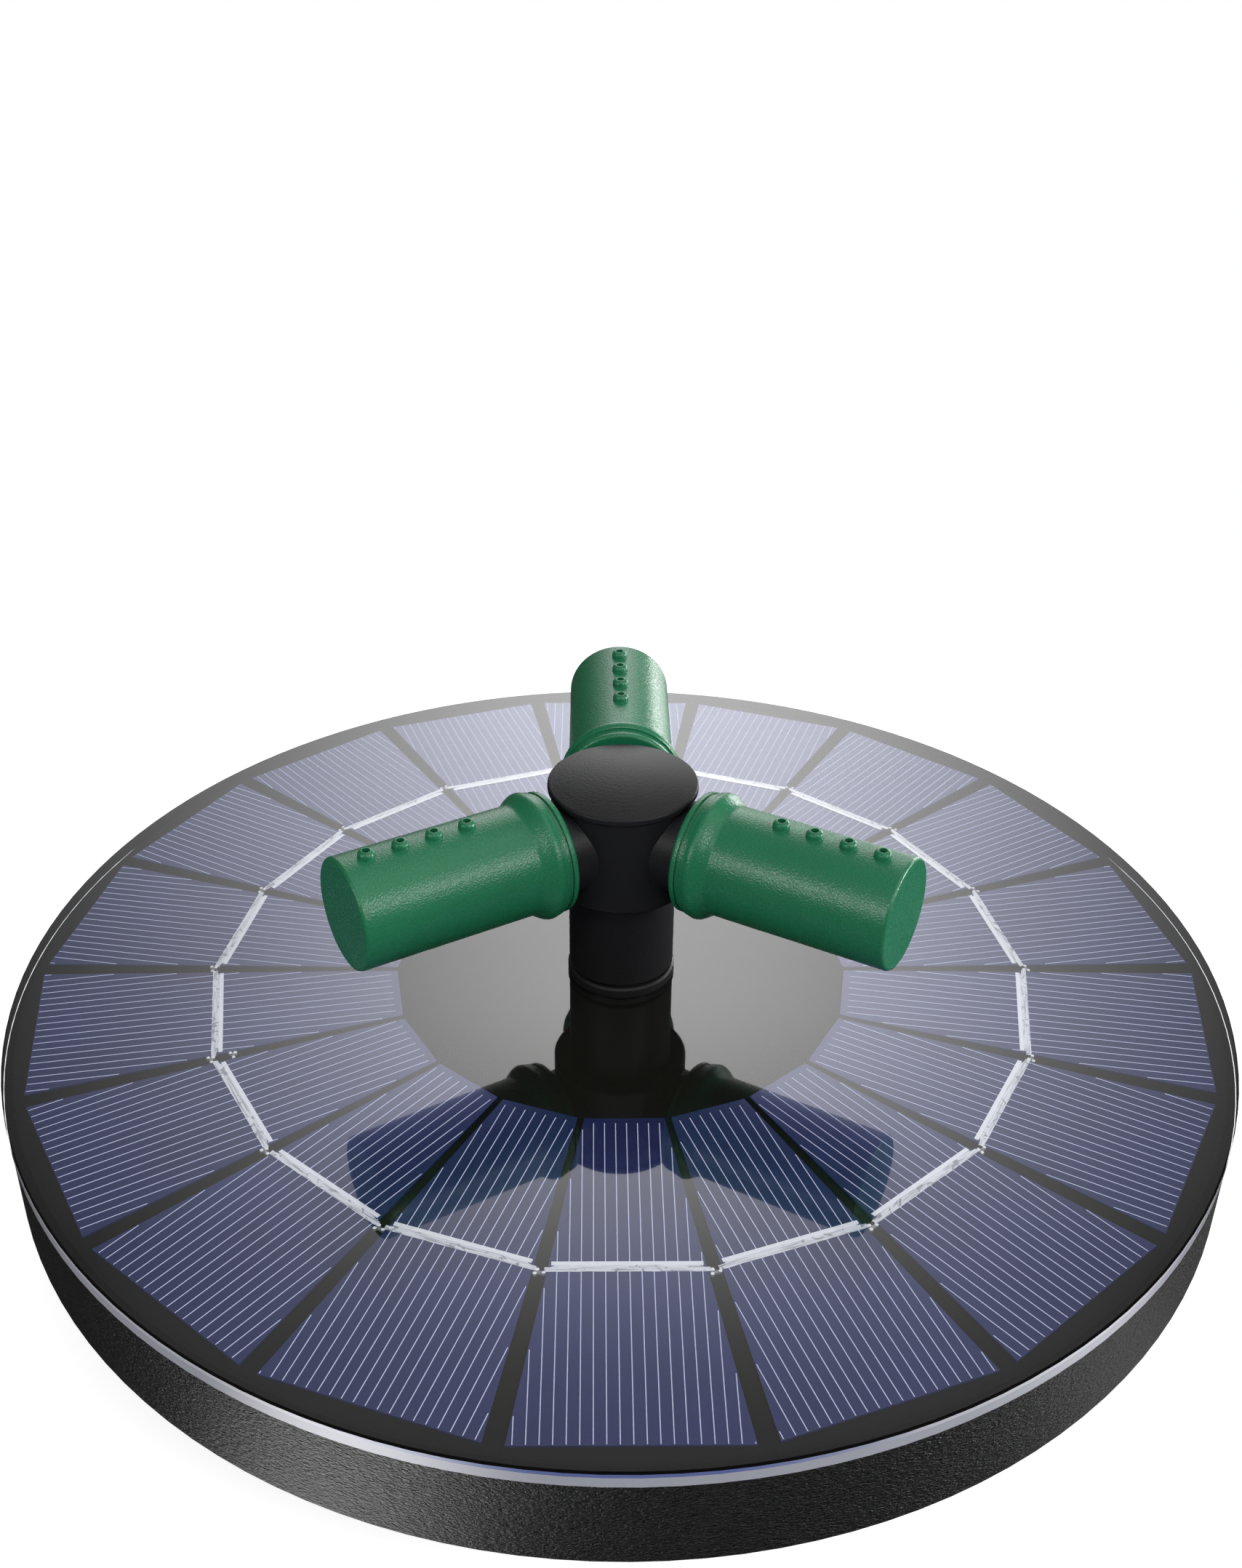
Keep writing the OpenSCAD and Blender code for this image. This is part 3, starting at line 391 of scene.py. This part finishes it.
def turned_stainless():
    """Stainless steel, turned: bright, with the tool's rings, which are drawn 0.19 mm apart so that
    they show."""
    finish, tree = new_finish("turned_stainless")
    place = add(tree, "TexCoord").outputs["Object"]
    ring = add(tree, "TexWave", {"Vector": place, "Scale": WAVE_STEP / (0.186 * MM),
                                 "Distortion": 0.4}, wave_type="RINGS")
    rough = add(tree, "MapRange", {"Value": ring.outputs["Fac"], "To Min": 0.24, "To Max": 0.4})
    steel = add(tree, "BsdfPrincipled", {
        "Base Color": linear("#c4c6c8"), "Metallic": 1.0, "Roughness": rough.outputs["Result"]})
    show(tree, steel)
    return finish


def stacked_electrical_steel():
    """Stack of 0.5 mm steel sheets, varnished: grey blue with a dark line at each sheet."""
    finish, tree = new_finish("stacked_electrical_steel")
    place = add(tree, "TexCoord").outputs["Object"]
    sheet = add(tree, "TexWave", {"Vector": place, "Scale": WAVE_STEP / (0.5 * MM)}, bands_direction="Y")
    shade = add(tree, "Mix", {"Factor": sheet.outputs["Fac"], 6: linear("#4c5056"), 7: linear("#8e9298")},
                data_type="RGBA")
    bump = add(tree, "Bump", {"Height": sheet.outputs["Fac"], "Strength": 1.0, "Distance": 0.04 * MM})
    steel = add(tree, "BsdfPrincipled", {
        "Base Color": shade.outputs[2], "Metallic": 0.9, "Roughness": 0.45,
        "Normal": bump.outputs["Normal"]})
    show(tree, steel)
    return finish


def enamelled_wire():
    """Copper wire of 0.2 mm under clear red-brown enamel, wound tight: glossy, ribbed by its turns."""
    finish, tree = new_finish("enamelled_wire")
    place = add(tree, "TexCoord").outputs["Object"]
    turn = add(tree, "TexWave", {"Vector": place, "Scale": WAVE_STEP / (0.2 * MM), "Distortion": 0.5},
               bands_direction="DIAGONAL")
    shade = add(tree, "Mix", {"Factor": turn.outputs["Fac"], 6: linear("#5a2a12"), 7: linear("#c4723a")},
                data_type="RGBA")
    bump = add(tree, "Bump", {"Height": turn.outputs["Fac"], "Strength": 1.0, "Distance": 0.08 * MM})
    wire = add(tree, "BsdfPrincipled", {
        "Base Color": shade.outputs[2], "Metallic": 0.85, "Roughness": 0.28,
        "Normal": bump.outputs["Normal"]})
    show(tree, wire)
    return finish


def green_solder_mask():
    """Circuit board under green solder mask, with paler tracks under it that mark off fields of 1.2
    by 0.6 mm."""
    finish, tree = new_finish("green_solder_mask")
    place = add(tree, "TexCoord").outputs["Object"]
    track = add(tree, "TexBrick", {
        "Vector": place, "Scale": 1 / (2.4 * MM), "Mortar Size": 0.06, "Color1": linear("#1f5c33"),
        "Color2": linear("#235f37"), "Mortar": linear("#3c8a52")})
    mask = add(tree, "BsdfPrincipled", {"Base Color": track.outputs[0], "Roughness": 0.25, "IOR": 1.5})
    show(tree, mask)
    return finish


def plated_brass():
    """Brass pins under thin gold plate: warm yellow, drawn lengthwise."""
    finish, tree = new_finish("plated_brass")
    place = add(tree, "TexCoord").outputs["Object"]
    drawn = add(tree, "TexNoise", {"Vector": add(tree, "Mapping", {
        "Vector": place, "Scale": [1.0, 1.0, 0.05]}).outputs[0], "Scale": 1 / (0.1 * MM)})
    rough = add(tree, "MapRange", {"Value": drawn.outputs["Fac"], "To Min": 0.18, "To Max": 0.34})
    brass = add(tree, "BsdfPrincipled", {
        "Base Color": linear("#d8b56a"), "Metallic": 1.0, "Roughness": rough.outputs["Result"]})
    show(tree, brass)
    return finish


def ground_alumina():
    """Alumina ceramic, ground and lapped: ivory and very smooth."""
    finish, tree = new_finish("ground_alumina")
    place = add(tree, "TexCoord").outputs["Object"]
    body = add(tree, "TexNoise", {"Vector": place, "Scale": 1 / (2 * MM)})
    shade = add(tree, "Mix", {"Factor": body.outputs["Fac"], 6: linear("#ddd9cc"), 7: linear("#ece9df")},
                data_type="RGBA")
    alumina = add(tree, "BsdfPrincipled", {"Base Color": shade.outputs[2], "Roughness": 0.12, "IOR": 1.76})
    show(tree, alumina)
    return finish


def moulded_acetal():
    """Acetal, moulded: milk white and waxy."""
    finish, tree = new_finish("moulded_acetal")
    place = add(tree, "TexCoord").outputs["Object"]
    flow = add(tree, "TexNoise", {"Vector": place, "Scale": 1 / (4 * MM), "Distortion": 1.0})
    shade = add(tree, "Mix", {"Factor": flow.outputs["Fac"], 6: linear("#d9d9d4"), 7: linear("#e9e9e5")},
                data_type="RGBA")
    acetal = add(tree, "BsdfPrincipled", {"Base Color": shade.outputs[2], "Roughness": 0.35, "IOR": 1.48})
    show(tree, acetal)
    return finish


def pressed_ferrite():
    """Ferrite, pressed and fired: charcoal, with a fine dark grain of 0.2 mm."""
    finish, tree = new_finish("pressed_ferrite")
    place = add(tree, "TexCoord").outputs["Object"]
    grit = add(tree, "TexNoise", {"Vector": place, "Scale": 1 / (0.2 * MM), "Detail": 3.0})
    shade = add(tree, "Mix", {"Factor": grit.outputs["Fac"], 6: linear("#232327"), 7: linear("#46464c")},
                data_type="RGBA")
    bump = add(tree, "Bump", {"Height": grit.outputs["Fac"], "Strength": 1.0, "Distance": 0.02 * MM})
    ferrite = add(tree, "BsdfPrincipled", {
        "Base Color": shade.outputs[2], "Metallic": 0.2, "Roughness": 0.55,
        "Normal": bump.outputs["Normal"]})
    show(tree, ferrite)
    return finish


FINISHES = {
    moulded_polycarbonate_clear: ["top_cover"],
    coated_silicon: ["solar_cells"],
    tinned_copper: ["tabbing_ribbons"],
    solder_tin: ["solder_joints"],
    black_solder_mask: ["backing_board"],
    eva_foam: ["float_ring"],
    moulded_abs_black: ["outlet_collar", "stem_sleeve", "manifold", "manifold_cap"],
    moulded_abs_green: ["spray_arm_left", "spray_arm_right", "spray_arm_back"],
    moulded_rubber: ["outlet_grommet", "stem_o_ring", "swivel_o_ring", "arm_o_ring_left",
                     "arm_o_ring_right", "arm_o_ring_back", "volute_o_ring", "shaft_bush_front",
                     "shaft_bush_rear"],
    cut_foam_tape: ["plate_gasket"],
    moulded_abs_pump: ["mount_plate", "strainer_basket", "volute_cover", "motor_housing", "rear_cover"],
    turned_stainless: ["mounting_screws"],
    stacked_electrical_steel: ["stator_core"],
    enamelled_wire: ["stator_coils"],
    green_solder_mask: ["driver_board"],
    plated_brass: ["power_pins"],
    ground_alumina: ["pump_shaft"],
    moulded_acetal: ["impeller"],
    pressed_ferrite: ["rotor_magnet"],
}


def dress_nodes():
    """Gives every carried-over node its finish, and returns the finishes by name."""
    made = {}
    for make, nodes in FINISHES.items():
        finish = make()
        made[make.__name__] = finish
        for node in nodes:
            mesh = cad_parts[node].data
            mesh.materials.clear()
            mesh.materials.append(finish)
    return made


# Pieces that the panel's solids are too plain for


def mesh_piece(name, verts, faces, finish, smooth_below, uvs=None):
    """A closed mesh that rides on the base and shows one finish. uvs has a pair for each vertex."""
    mesh = bpy.data.meshes.new(name)
    mesh.from_pydata(verts, [], faces)
    shape = bmesh.new()
    shape.from_mesh(mesh)
    bmesh.ops.recalc_face_normals(shape, faces=shape.faces)
    shape.to_mesh(mesh)
    shape.free()
    mesh.polygons.foreach_set("use_smooth", [True] * len(mesh.polygons))
    mesh.set_sharp_from_angle(angle=smooth_below)
    if uvs:
        layer = mesh.uv_layers.new(name="along_and_across")
        for loop in mesh.loops:
            layer.data[loop.index].uv = uvs[loop.vertex_index]
    mesh.materials.append(finish)
    piece = bpy.data.objects.new(name, mesh)
    bpy.context.scene.collection.objects.link(piece)
    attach(piece, "base")
    return piece


def slab(steps, rows, spot, floor):
    """Points, pairs for a pattern and faces of a closed sheet. spot gives a point of its top and that
    point's pair for two shares from 0 to 1, and floor gives the height under a point."""
    tops = [spot(i / steps, j / rows) for i in range(steps + 1) for j in range(rows + 1)]
    verts = [top for top, _ in tops] + [Vector((top.x, top.y, floor(top))) for top, _ in tops]
    uvs = [uv for _, uv in tops] * 2
    row, sheet = rows + 1, len(tops)
    faces = []
    for i in range(steps):
        for j in range(rows):
            a = i * row + j
            faces.append([a, a + 1, a + row + 1, a + row])
            faces.append([sheet + a, sheet + a + row, sheet + a + row + 1, sheet + a + 1])
        for a in (i * row, i * row + rows):
            faces.append([a, a + row, sheet + a + row, sheet + a])
    for j in range(rows):
        for a in (j, steps * row + j):
            faces.append([a, a + 1, sheet + a + 1, sheet + a])
    return verts, uvs, faces


def joined(slabs):
    """Several slabs as one list of points, one of pairs and one of faces."""
    verts, uvs, faces = [], [], []
    for more_verts, more_uvs, more_faces in slabs:
        faces += [[len(verts) + corner for corner in face] for face in more_faces]
        verts += more_verts
        uvs += more_uvs
    return verts, uvs, faces


def cell_half_width(r):
    """Half the width of a cell at the distance r from the panel's centre."""
    gap = GAP_IN + (GAP_OUT - GAP_IN) * (r - CELL_IN) / (CELL_OUT - CELL_IN)
    return r * math.tan(CELL_STEP / 2) - gap / 2 / math.cos(CELL_STEP / 2)


def cell_turn(cell):
    """The turn that brings a cell drawn along +X to its place, the first one at the front."""
    return Matrix.Rotation(cell * CELL_STEP - math.pi / 2, 3, "Z")


def printed_fingers(finish):
    """The printed lines on every cell: about 18 at its outer edge, parallel to its middle."""
    pitch = 1.48 * MM
    width = 0.11 * MM
    height = 0.03 * MM
    bare_in = 1.0 * MM
    bare_side = 0.12 * MM
    bare_out = 0.15 * MM
    most_a_side = 10
    # Corners of a line's box, numbered with the height changing first, then the width, then the length
    box_faces = ((0, 1, 3, 2), (4, 6, 7, 5), (0, 4, 5, 1), (2, 3, 7, 6), (1, 5, 7, 3), (0, 2, 6, 4))
    in_r = CELL_IN + bare_in
    out_r = CELL_OUT - bare_out
    slope = (cell_half_width(CELL_OUT) - cell_half_width(CELL_IN)) / (CELL_OUT - CELL_IN)
    verts, faces = [], []
    for cell in range(CELLS):
        turn = cell_turn(cell)
        # The lines lie up to 0.4 of their pitch off the cell's middle, unequal from cell to cell
        shift = 0.4 * pitch * math.sin(2.4 * cell + 5.4)
        for line in range(-most_a_side, most_a_side):
            middle = (line + 0.5) * pitch + shift
            reach = abs(middle) + width / 2 + bare_side
            start = max(in_r, CELL_IN + (reach - cell_half_width(CELL_IN)) / slope)
            if start > out_r - width:
                continue
            first = len(verts)
            for x in (start, out_r):
                for y in (middle - width / 2, middle + width / 2):
                    for z in (CELL_TOP, CELL_TOP + height):
                        verts.append(turn @ Vector((x, y, z)))
            for face in box_faces:
                faces.append([first + corner for corner in face])
    return mesh_piece("printed_fingers", verts, faces, finish, math.radians(20))


def soldered_ribbons(finish):
    """The ribbons as soldered by hand. Each has a smooth strip along its inner edge. The rest lies in
    shallow waves, and its narrower ends reach to the solder in the gaps. The pairs for the pattern
    are in millimetres, along and across the ribbon."""
    thick = 0.06 * MM
    strip_w = 0.6 * MM
    tail_w = 0.72 * MM
    end_inset = 0.4 * MM
    taper = 0.5 * MM
    strip_rise = 0.03 * MM
    wave_high = 0.03 * MM
    wave_long = 2.2 * MM
    small_wave = 0.4
    small_wave_long = 0.35 * wave_long
    wave_lift = 0.45
    edge_wave = 0.05 * MM
    edge_wave_long = 1.3 * MM
    joint_inset = 0.62 * MM
    past_strip = 0.05
    # Steps that keep two ribbons from having the same pattern, or the same edge
    pattern_step = 50
    edge_step = 7.3
    in_r = RIBBON_R - RIBBON_W / 2
    out_r = RIBBON_R + RIBBON_W / 2
    half = cell_half_width(RIBBON_R) - end_inset
    reach = JOINT_R * math.sin(CELL_STEP / 2) - joint_inset
    slabs = []
    for cell in range(CELLS):
        turn = cell_turn(cell)

        def strip(along, across):
            x, y = in_r + strip_w * across, half * (2 * along - 1)
            z = CELL_TOP + thick + strip_rise
            return turn @ Vector((x, y, z)), (cell * pattern_step + y / MM, strip_w * across / MM)

        def tinned(along, across):
            y = reach * (2 * along - 1)
            narrow = max(0.0, min(1.0, (abs(y) - half + taper) / taper))
            start = in_r + strip_w + (out_r - tail_w - in_r - strip_w) * narrow
            x = start + (out_r - start) * across
            flat = turn @ Vector((x, y, 0))
            ripple = noise.noise(flat / wave_long) + small_wave * noise.noise(flat / small_wave_long)
            edge = edge_wave * noise.noise(Vector((cell * edge_step, y / edge_wave_long, across)))
            z = CELL_TOP + thick + wave_high * max(0.0, min(1.0, ripple + wave_lift))
            uv = (cell * pattern_step + y / MM, (x - in_r) / MM + past_strip)
            return turn @ Vector((x + edge, y, z)), uv

        for steps, rows, spot in ((2, 1, strip), (60, 5, tinned)):
            slabs.append(slab(steps, rows, spot, lambda top: top.z - thick))
    verts, uvs, faces = joined(slabs)
    ribbons = mesh_piece("soldered_ribbons", verts, faces, finish,
                         math.radians(60), uvs)
    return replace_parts(ribbons, "tabbing_ribbons")


def solder_dabs(finish):
    """The solder in the gaps: a thin grey link across each, with three dabs on it that stand high and so
    are painted bright, as their highlight. One more such joint, further in, marks the terminal."""
    base_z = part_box("backing_board")[1].z
    link_h = CELL_TOP + 0.04 * MM
    dab_h = CELL_TOP + 0.13 * MM
    uneven_by = 0.05 * MM
    uneven_step = 3.1
    narrowing = 0.22
    edge_drop = 0.06 * MM
    steps = 6
    # Place along the radius and round the panel, half length and half width, and height
    parts = [
        (0, 0, 0.22 * MM, 0.62 * MM, link_h),
        (0.3 * MM, -0.5 * MM, 0.24 * MM, 0.26 * MM, dab_h),
        (-0.36 * MM, -0.36 * MM, 0.26 * MM, 0.3 * MM, dab_h),
        (0.02 * MM, 0.56 * MM, 0.24 * MM, 0.24 * MM, dab_h)]
    places = [(JOINT_R, (cell + 0.5) * CELL_STEP - math.pi / 2) for cell in range(CELLS)]
    places.append((JOINT_R - TERMINAL_PITCH, -math.pi / 2 - (TERMINAL_GAP + 0.5) * CELL_STEP))
    slabs = []
    for number, (r, angle) in enumerate(places):
        turn = Matrix.Rotation(angle, 3, "Z")
        for x, y, half_x, half_y, top in parts:

            def dab(u, v):
                a, b = 2 * u - 1, 2 * v - 1
                uneven = uneven_by * noise.noise(Vector((number * uneven_step, a + x / MM, b)))
                flat = Vector((r + x + half_x * a * (1 - narrowing * b * b) + uneven,
                               y + half_y * b * (1 - narrowing * a * a) + uneven, 0))
                drop = edge_drop * max(abs(a), abs(b)) ** 3
                return turn @ flat + Vector((0, 0, top - drop)), (u, v)

            slabs.append(slab(steps, steps, dab, lambda top: base_z))
    verts, uvs, faces = joined(slabs)
    dabs = mesh_piece("solder_dabs", verts, faces, finish, math.radians(50), uvs)
    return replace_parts(dabs, "solder_joints")


# Studio


def studio_floor():
    """A wide pale floor, just clear of the part's foot and seen through from below. It is white to the
    eye away from the part, and near it keeps the shadow. To gloss it is dark, but for three pale
    cards: in front to the left and right, and behind to the right."""
    half = 6.0
    drop = 0.05 * MM
    shadow_to_r = 0.1
    white_from_r = 0.24
    lift = 0.62
    dark = 0.05
    # Place of each card's middle, how far it reaches, and its light there
    cards = [(-0.054, -0.106, 0.042, 7.5), (0.098, -0.076, 0.042, 1.4), (0.2, 0.3, 0.2, 4.0)]
    corners = [(x * half, y * half, -drop) for x, y in ((-1, -1), (1, -1), (1, 1), (-1, 1))]
    mesh = bpy.data.meshes.new("studio_floor")
    mesh.from_pydata(corners, [], [(0, 1, 2, 3)])
    finish, tree = new_finish("painted_floor")
    place = add(tree, "TexCoord").outputs["Object"]
    distance = add(tree, "VectorMath", {0: place}, operation="LENGTH")
    away = add(tree, "MapRange", {"Value": distance.outputs["Value"], "From Min": shadow_to_r,
                                  "From Max": white_from_r}, interpolation_type="SMOOTHSTEP")
    path = add(tree, "LightPath")
    eye = add(tree, "Math", {0: path.outputs["Is Camera Ray"], 1: path.outputs["Is Transmission Ray"]},
              operation="MAXIMUM")
    share = add(tree, "Math", {0: away.outputs["Result"], 1: eye.outputs[0]}, operation="MULTIPLY")
    glow = add(tree, "Math", {0: eye.outputs[0], 1: lift}, operation="MULTIPLY")
    paint = add(tree, "BsdfDiffuse", {"Color": linear("#f2f2f2")})
    lifted = add(tree, "AddShader", {
        0: paint.outputs[0],
        1: add(tree, "Emission", {"Color": linear("#ffffff"), "Strength": glow.outputs[0]}).outputs[0]})
    white = add(tree, "Emission", {"Color": linear("#ffffff"), "Strength": 1.0})
    seen = add(tree, "MixShader", {0: share.outputs[0], 1: lifted.outputs[0], 2: white.outputs[0]})
    shine = dark
    for x, y, spread, light in cards:
        off = add(tree, "VectorMath", {0: place, 1: (x, y, 0)}, operation="DISTANCE")
        near = add(tree, "MapRange", {"Value": off.outputs["Value"], "From Min": spread, "From Max": 0.0,
                                      "To Max": light}, interpolation_type="SMOOTHSTEP")
        shine = add(tree, "Math", {0: near.outputs["Result"], 1: shine}).outputs[0]
    gloss = add(tree, "Emission", {"Color": linear("#ffffff"), "Strength": shine})
    top = add(tree, "MixShader", {0: path.outputs["Is Glossy Ray"], 1: seen.outputs[0],
                                  2: gloss.outputs[0]})
    below = add(tree, "NewGeometry").outputs["Backfacing"]
    show(tree, add(tree, "MixShader", {0: below, 1: top.outputs[0],
                                       2: add(tree, "BsdfTransparent").outputs[0]}))
    mesh.materials.append(finish)
    floor = bpy.data.objects.new("studio_floor", mesh)
    bpy.context.scene.collection.objects.link(floor)


def studio_world():
    """White to the eye. To gloss it is a dark room with a grey ceiling and one wide, soft-edged window
    behind the part, which is what pales the far half of the panel. To matte surfaces it is an even
    light."""
    window_turn = math.radians(2.3)
    window_spread = math.radians(11.2)
    window_top = math.sin(math.radians(52))
    window_full = math.sin(math.radians(37))
    ceiling_starts = math.sin(math.radians(44))
    ceiling_full = math.sin(math.radians(51))
    window_light = 2.82
    room_light = 0.04
    ceiling_light = 0.21
    matte_light = 0.3
    world = bpy.data.worlds.new("studio_world")
    bpy.context.scene.world = world
    world.use_nodes = True
    tree = world.node_tree
    tree.nodes.clear()
    axes = add(tree, "SeparateXYZ", {0: add(tree, "TexCoord").outputs["Generated"]})
    turn = add(tree, "Math", {0: axes.outputs[0], 1: axes.outputs[1]}, operation="ARCTAN2")
    off = add(tree, "Math", {0: turn.outputs[0], 1: window_turn}, operation="SUBTRACT")
    off = add(tree, "Math", {0: off.outputs[0], 1: window_spread * math.sqrt(2)}, operation="DIVIDE")
    off = add(tree, "Math", {0: off.outputs[0], 1: off.outputs[0]}, operation="MULTIPLY")
    off = add(tree, "Math", {0: off.outputs[0], 1: -1.0}, operation="MULTIPLY")
    across = add(tree, "Math", {0: off.outputs[0]}, operation="EXPONENT")
    up = add(tree, "MapRange", {"Value": axes.outputs[2], "From Min": window_top,
                                "From Max": window_full}, interpolation_type="SMOOTHSTEP")
    window = add(tree, "Math", {0: across.outputs[0], 1: up.outputs["Result"]}, operation="MULTIPLY")
    ceiling = add(tree, "MapRange", {"Value": axes.outputs[2], "From Min": ceiling_starts,
                                     "From Max": ceiling_full, "To Min": room_light,
                                     "To Max": room_light + ceiling_light})
    gloss = add(tree, "Math", {0: window.outputs[0], 1: window_light, 2: ceiling.outputs["Result"]},
                operation="MULTIPLY_ADD")
    path = add(tree, "LightPath")
    for_matte = add(tree, "Background", {"Color": linear("#ffffff"), "Strength": matte_light})
    for_gloss = add(tree, "Background", {"Color": linear("#ffffff"), "Strength": gloss.outputs[0]})
    for_eye = add(tree, "Background", {"Color": linear("#ffffff"), "Strength": 1.0})
    room = add(tree, "MixShader", {0: path.outputs["Is Glossy Ray"], 1: for_matte.outputs[0],
                                   2: for_gloss.outputs[0]})
    seen = add(tree, "Math", {0: path.outputs["Is Camera Ray"], 1: path.outputs["Is Transmission Ray"]},
               operation="MAXIMUM")
    whole = add(tree, "MixShader", {0: seen.outputs[0], 1: room.outputs[0], 2: for_eye.outputs[0]})
    add(tree, "OutputWorld", {"Surface": whole.outputs[0]})


def softbox(name, toward, size, watts, cover=None):
    """A rectangular lamp, 1 m away, that faces the spray head. With cover as EXCLUDE it lights all but
    the clear cover. With INCLUDE it lights only the cover, and does not mirror in it."""
    centre = Vector((0, 0, 0.04))
    lamp = bpy.data.lights.new(name, "AREA")
    lamp.shape = "RECTANGLE"
    lamp.size, lamp.size_y = size
    lamp.energy = watts
    box = bpy.data.objects.new(name, lamp)
    box.location = centre + Vector(toward).normalized()
    box.rotation_euler = (centre - box.location).to_track_quat("-Z", "Y").to_euler()
    bpy.context.scene.collection.objects.link(box)
    if cover:
        rule = bpy.data.collections.new(name + "_rule")
        rule.objects.link(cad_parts["top_cover"])
        rule.collection_objects[0].light_linking.link_state = cover
        box.light_linking.receiver_collection = rule
        box.visible_glossy = cover == "EXCLUDE"


def studio_lamps():
    """Six soft lamps. Four of them would show as pale patches in the clear cover, so each of these is a
    pair: one lamp for all but the cover, and its twin for the cover alone."""
    # Where from, width and height in metres, and watts
    paired = {
        "softbox_left": ((-0.64, -0.58, 0.5), (0.5, 0.15), 2.4),
        "softbox_right": ((0.72, -0.58, 0.62), (0.5, 0.2), 2.9),
        "softbox_side": ((0.9, 0.1, 0.1), (0.4, 0.15), 7.0),
        "softbox_top": ((0.4, 0.05, 0.9), (0.8, 0.8), 1.4)}
    single = {
        "softbox_behind": ((0.62, 0.78, 0.06), (0.5, 0.1), 2.7),
        "softbox_front": ((0, -0.55, 0.82), (0.5, 0.15), 1.2)}
    for ending, cover in (("", "EXCLUDE"), ("_on_cover", "INCLUDE")):
        for name, (toward, size, watts) in paired.items():
            softbox(name + ending, toward, size, watts, cover)
    for name, (toward, size, watts) in single.items():
        softbox(name, toward, size, watts)


def studio_camera():
    """Looks down on the panel from the front, from the photograph's distance and height."""
    place = Vector((-4.17, -208.71, 196.4)) * MM
    turn = 0.0186
    pitch = math.radians(30.764)
    roll = math.radians(0.598)
    focal_px, frame_px, film = 2343.8, 2156, 36.0
    ahead = Vector((math.sin(turn) * math.cos(pitch), math.cos(turn) * math.cos(pitch), -math.sin(pitch)))
    level = Vector((math.cos(turn), -math.sin(turn), 0))
    upright = level.cross(ahead)
    right = level * math.cos(roll) + upright * math.sin(roll)
    up = upright * math.cos(roll) - level * math.sin(roll)
    lens = bpy.data.cameras.new("studio_camera")
    lens.sensor_fit = "VERTICAL"
    lens.sensor_height = film
    lens.lens = focal_px / frame_px * film
    lens.clip_start = 0.005
    camera = bpy.data.objects.new("studio_camera", lens)
    camera.matrix_world = Matrix.Translation(place) @ Matrix((right, up, -ahead)).transposed().to_4x4()
    bpy.context.scene.collection.objects.link(camera)
    bpy.context.scene.camera = camera


finishes = dress_nodes()
printed_fingers(printed_silver())
soldered_ribbons(finishes["tinned_copper"])
solder_dabs(finishes["solder_tin"])
studio_floor()
studio_world()
studio_lamps()
studio_camera()
bpy.context.scene.view_settings.view_transform = "Standard"
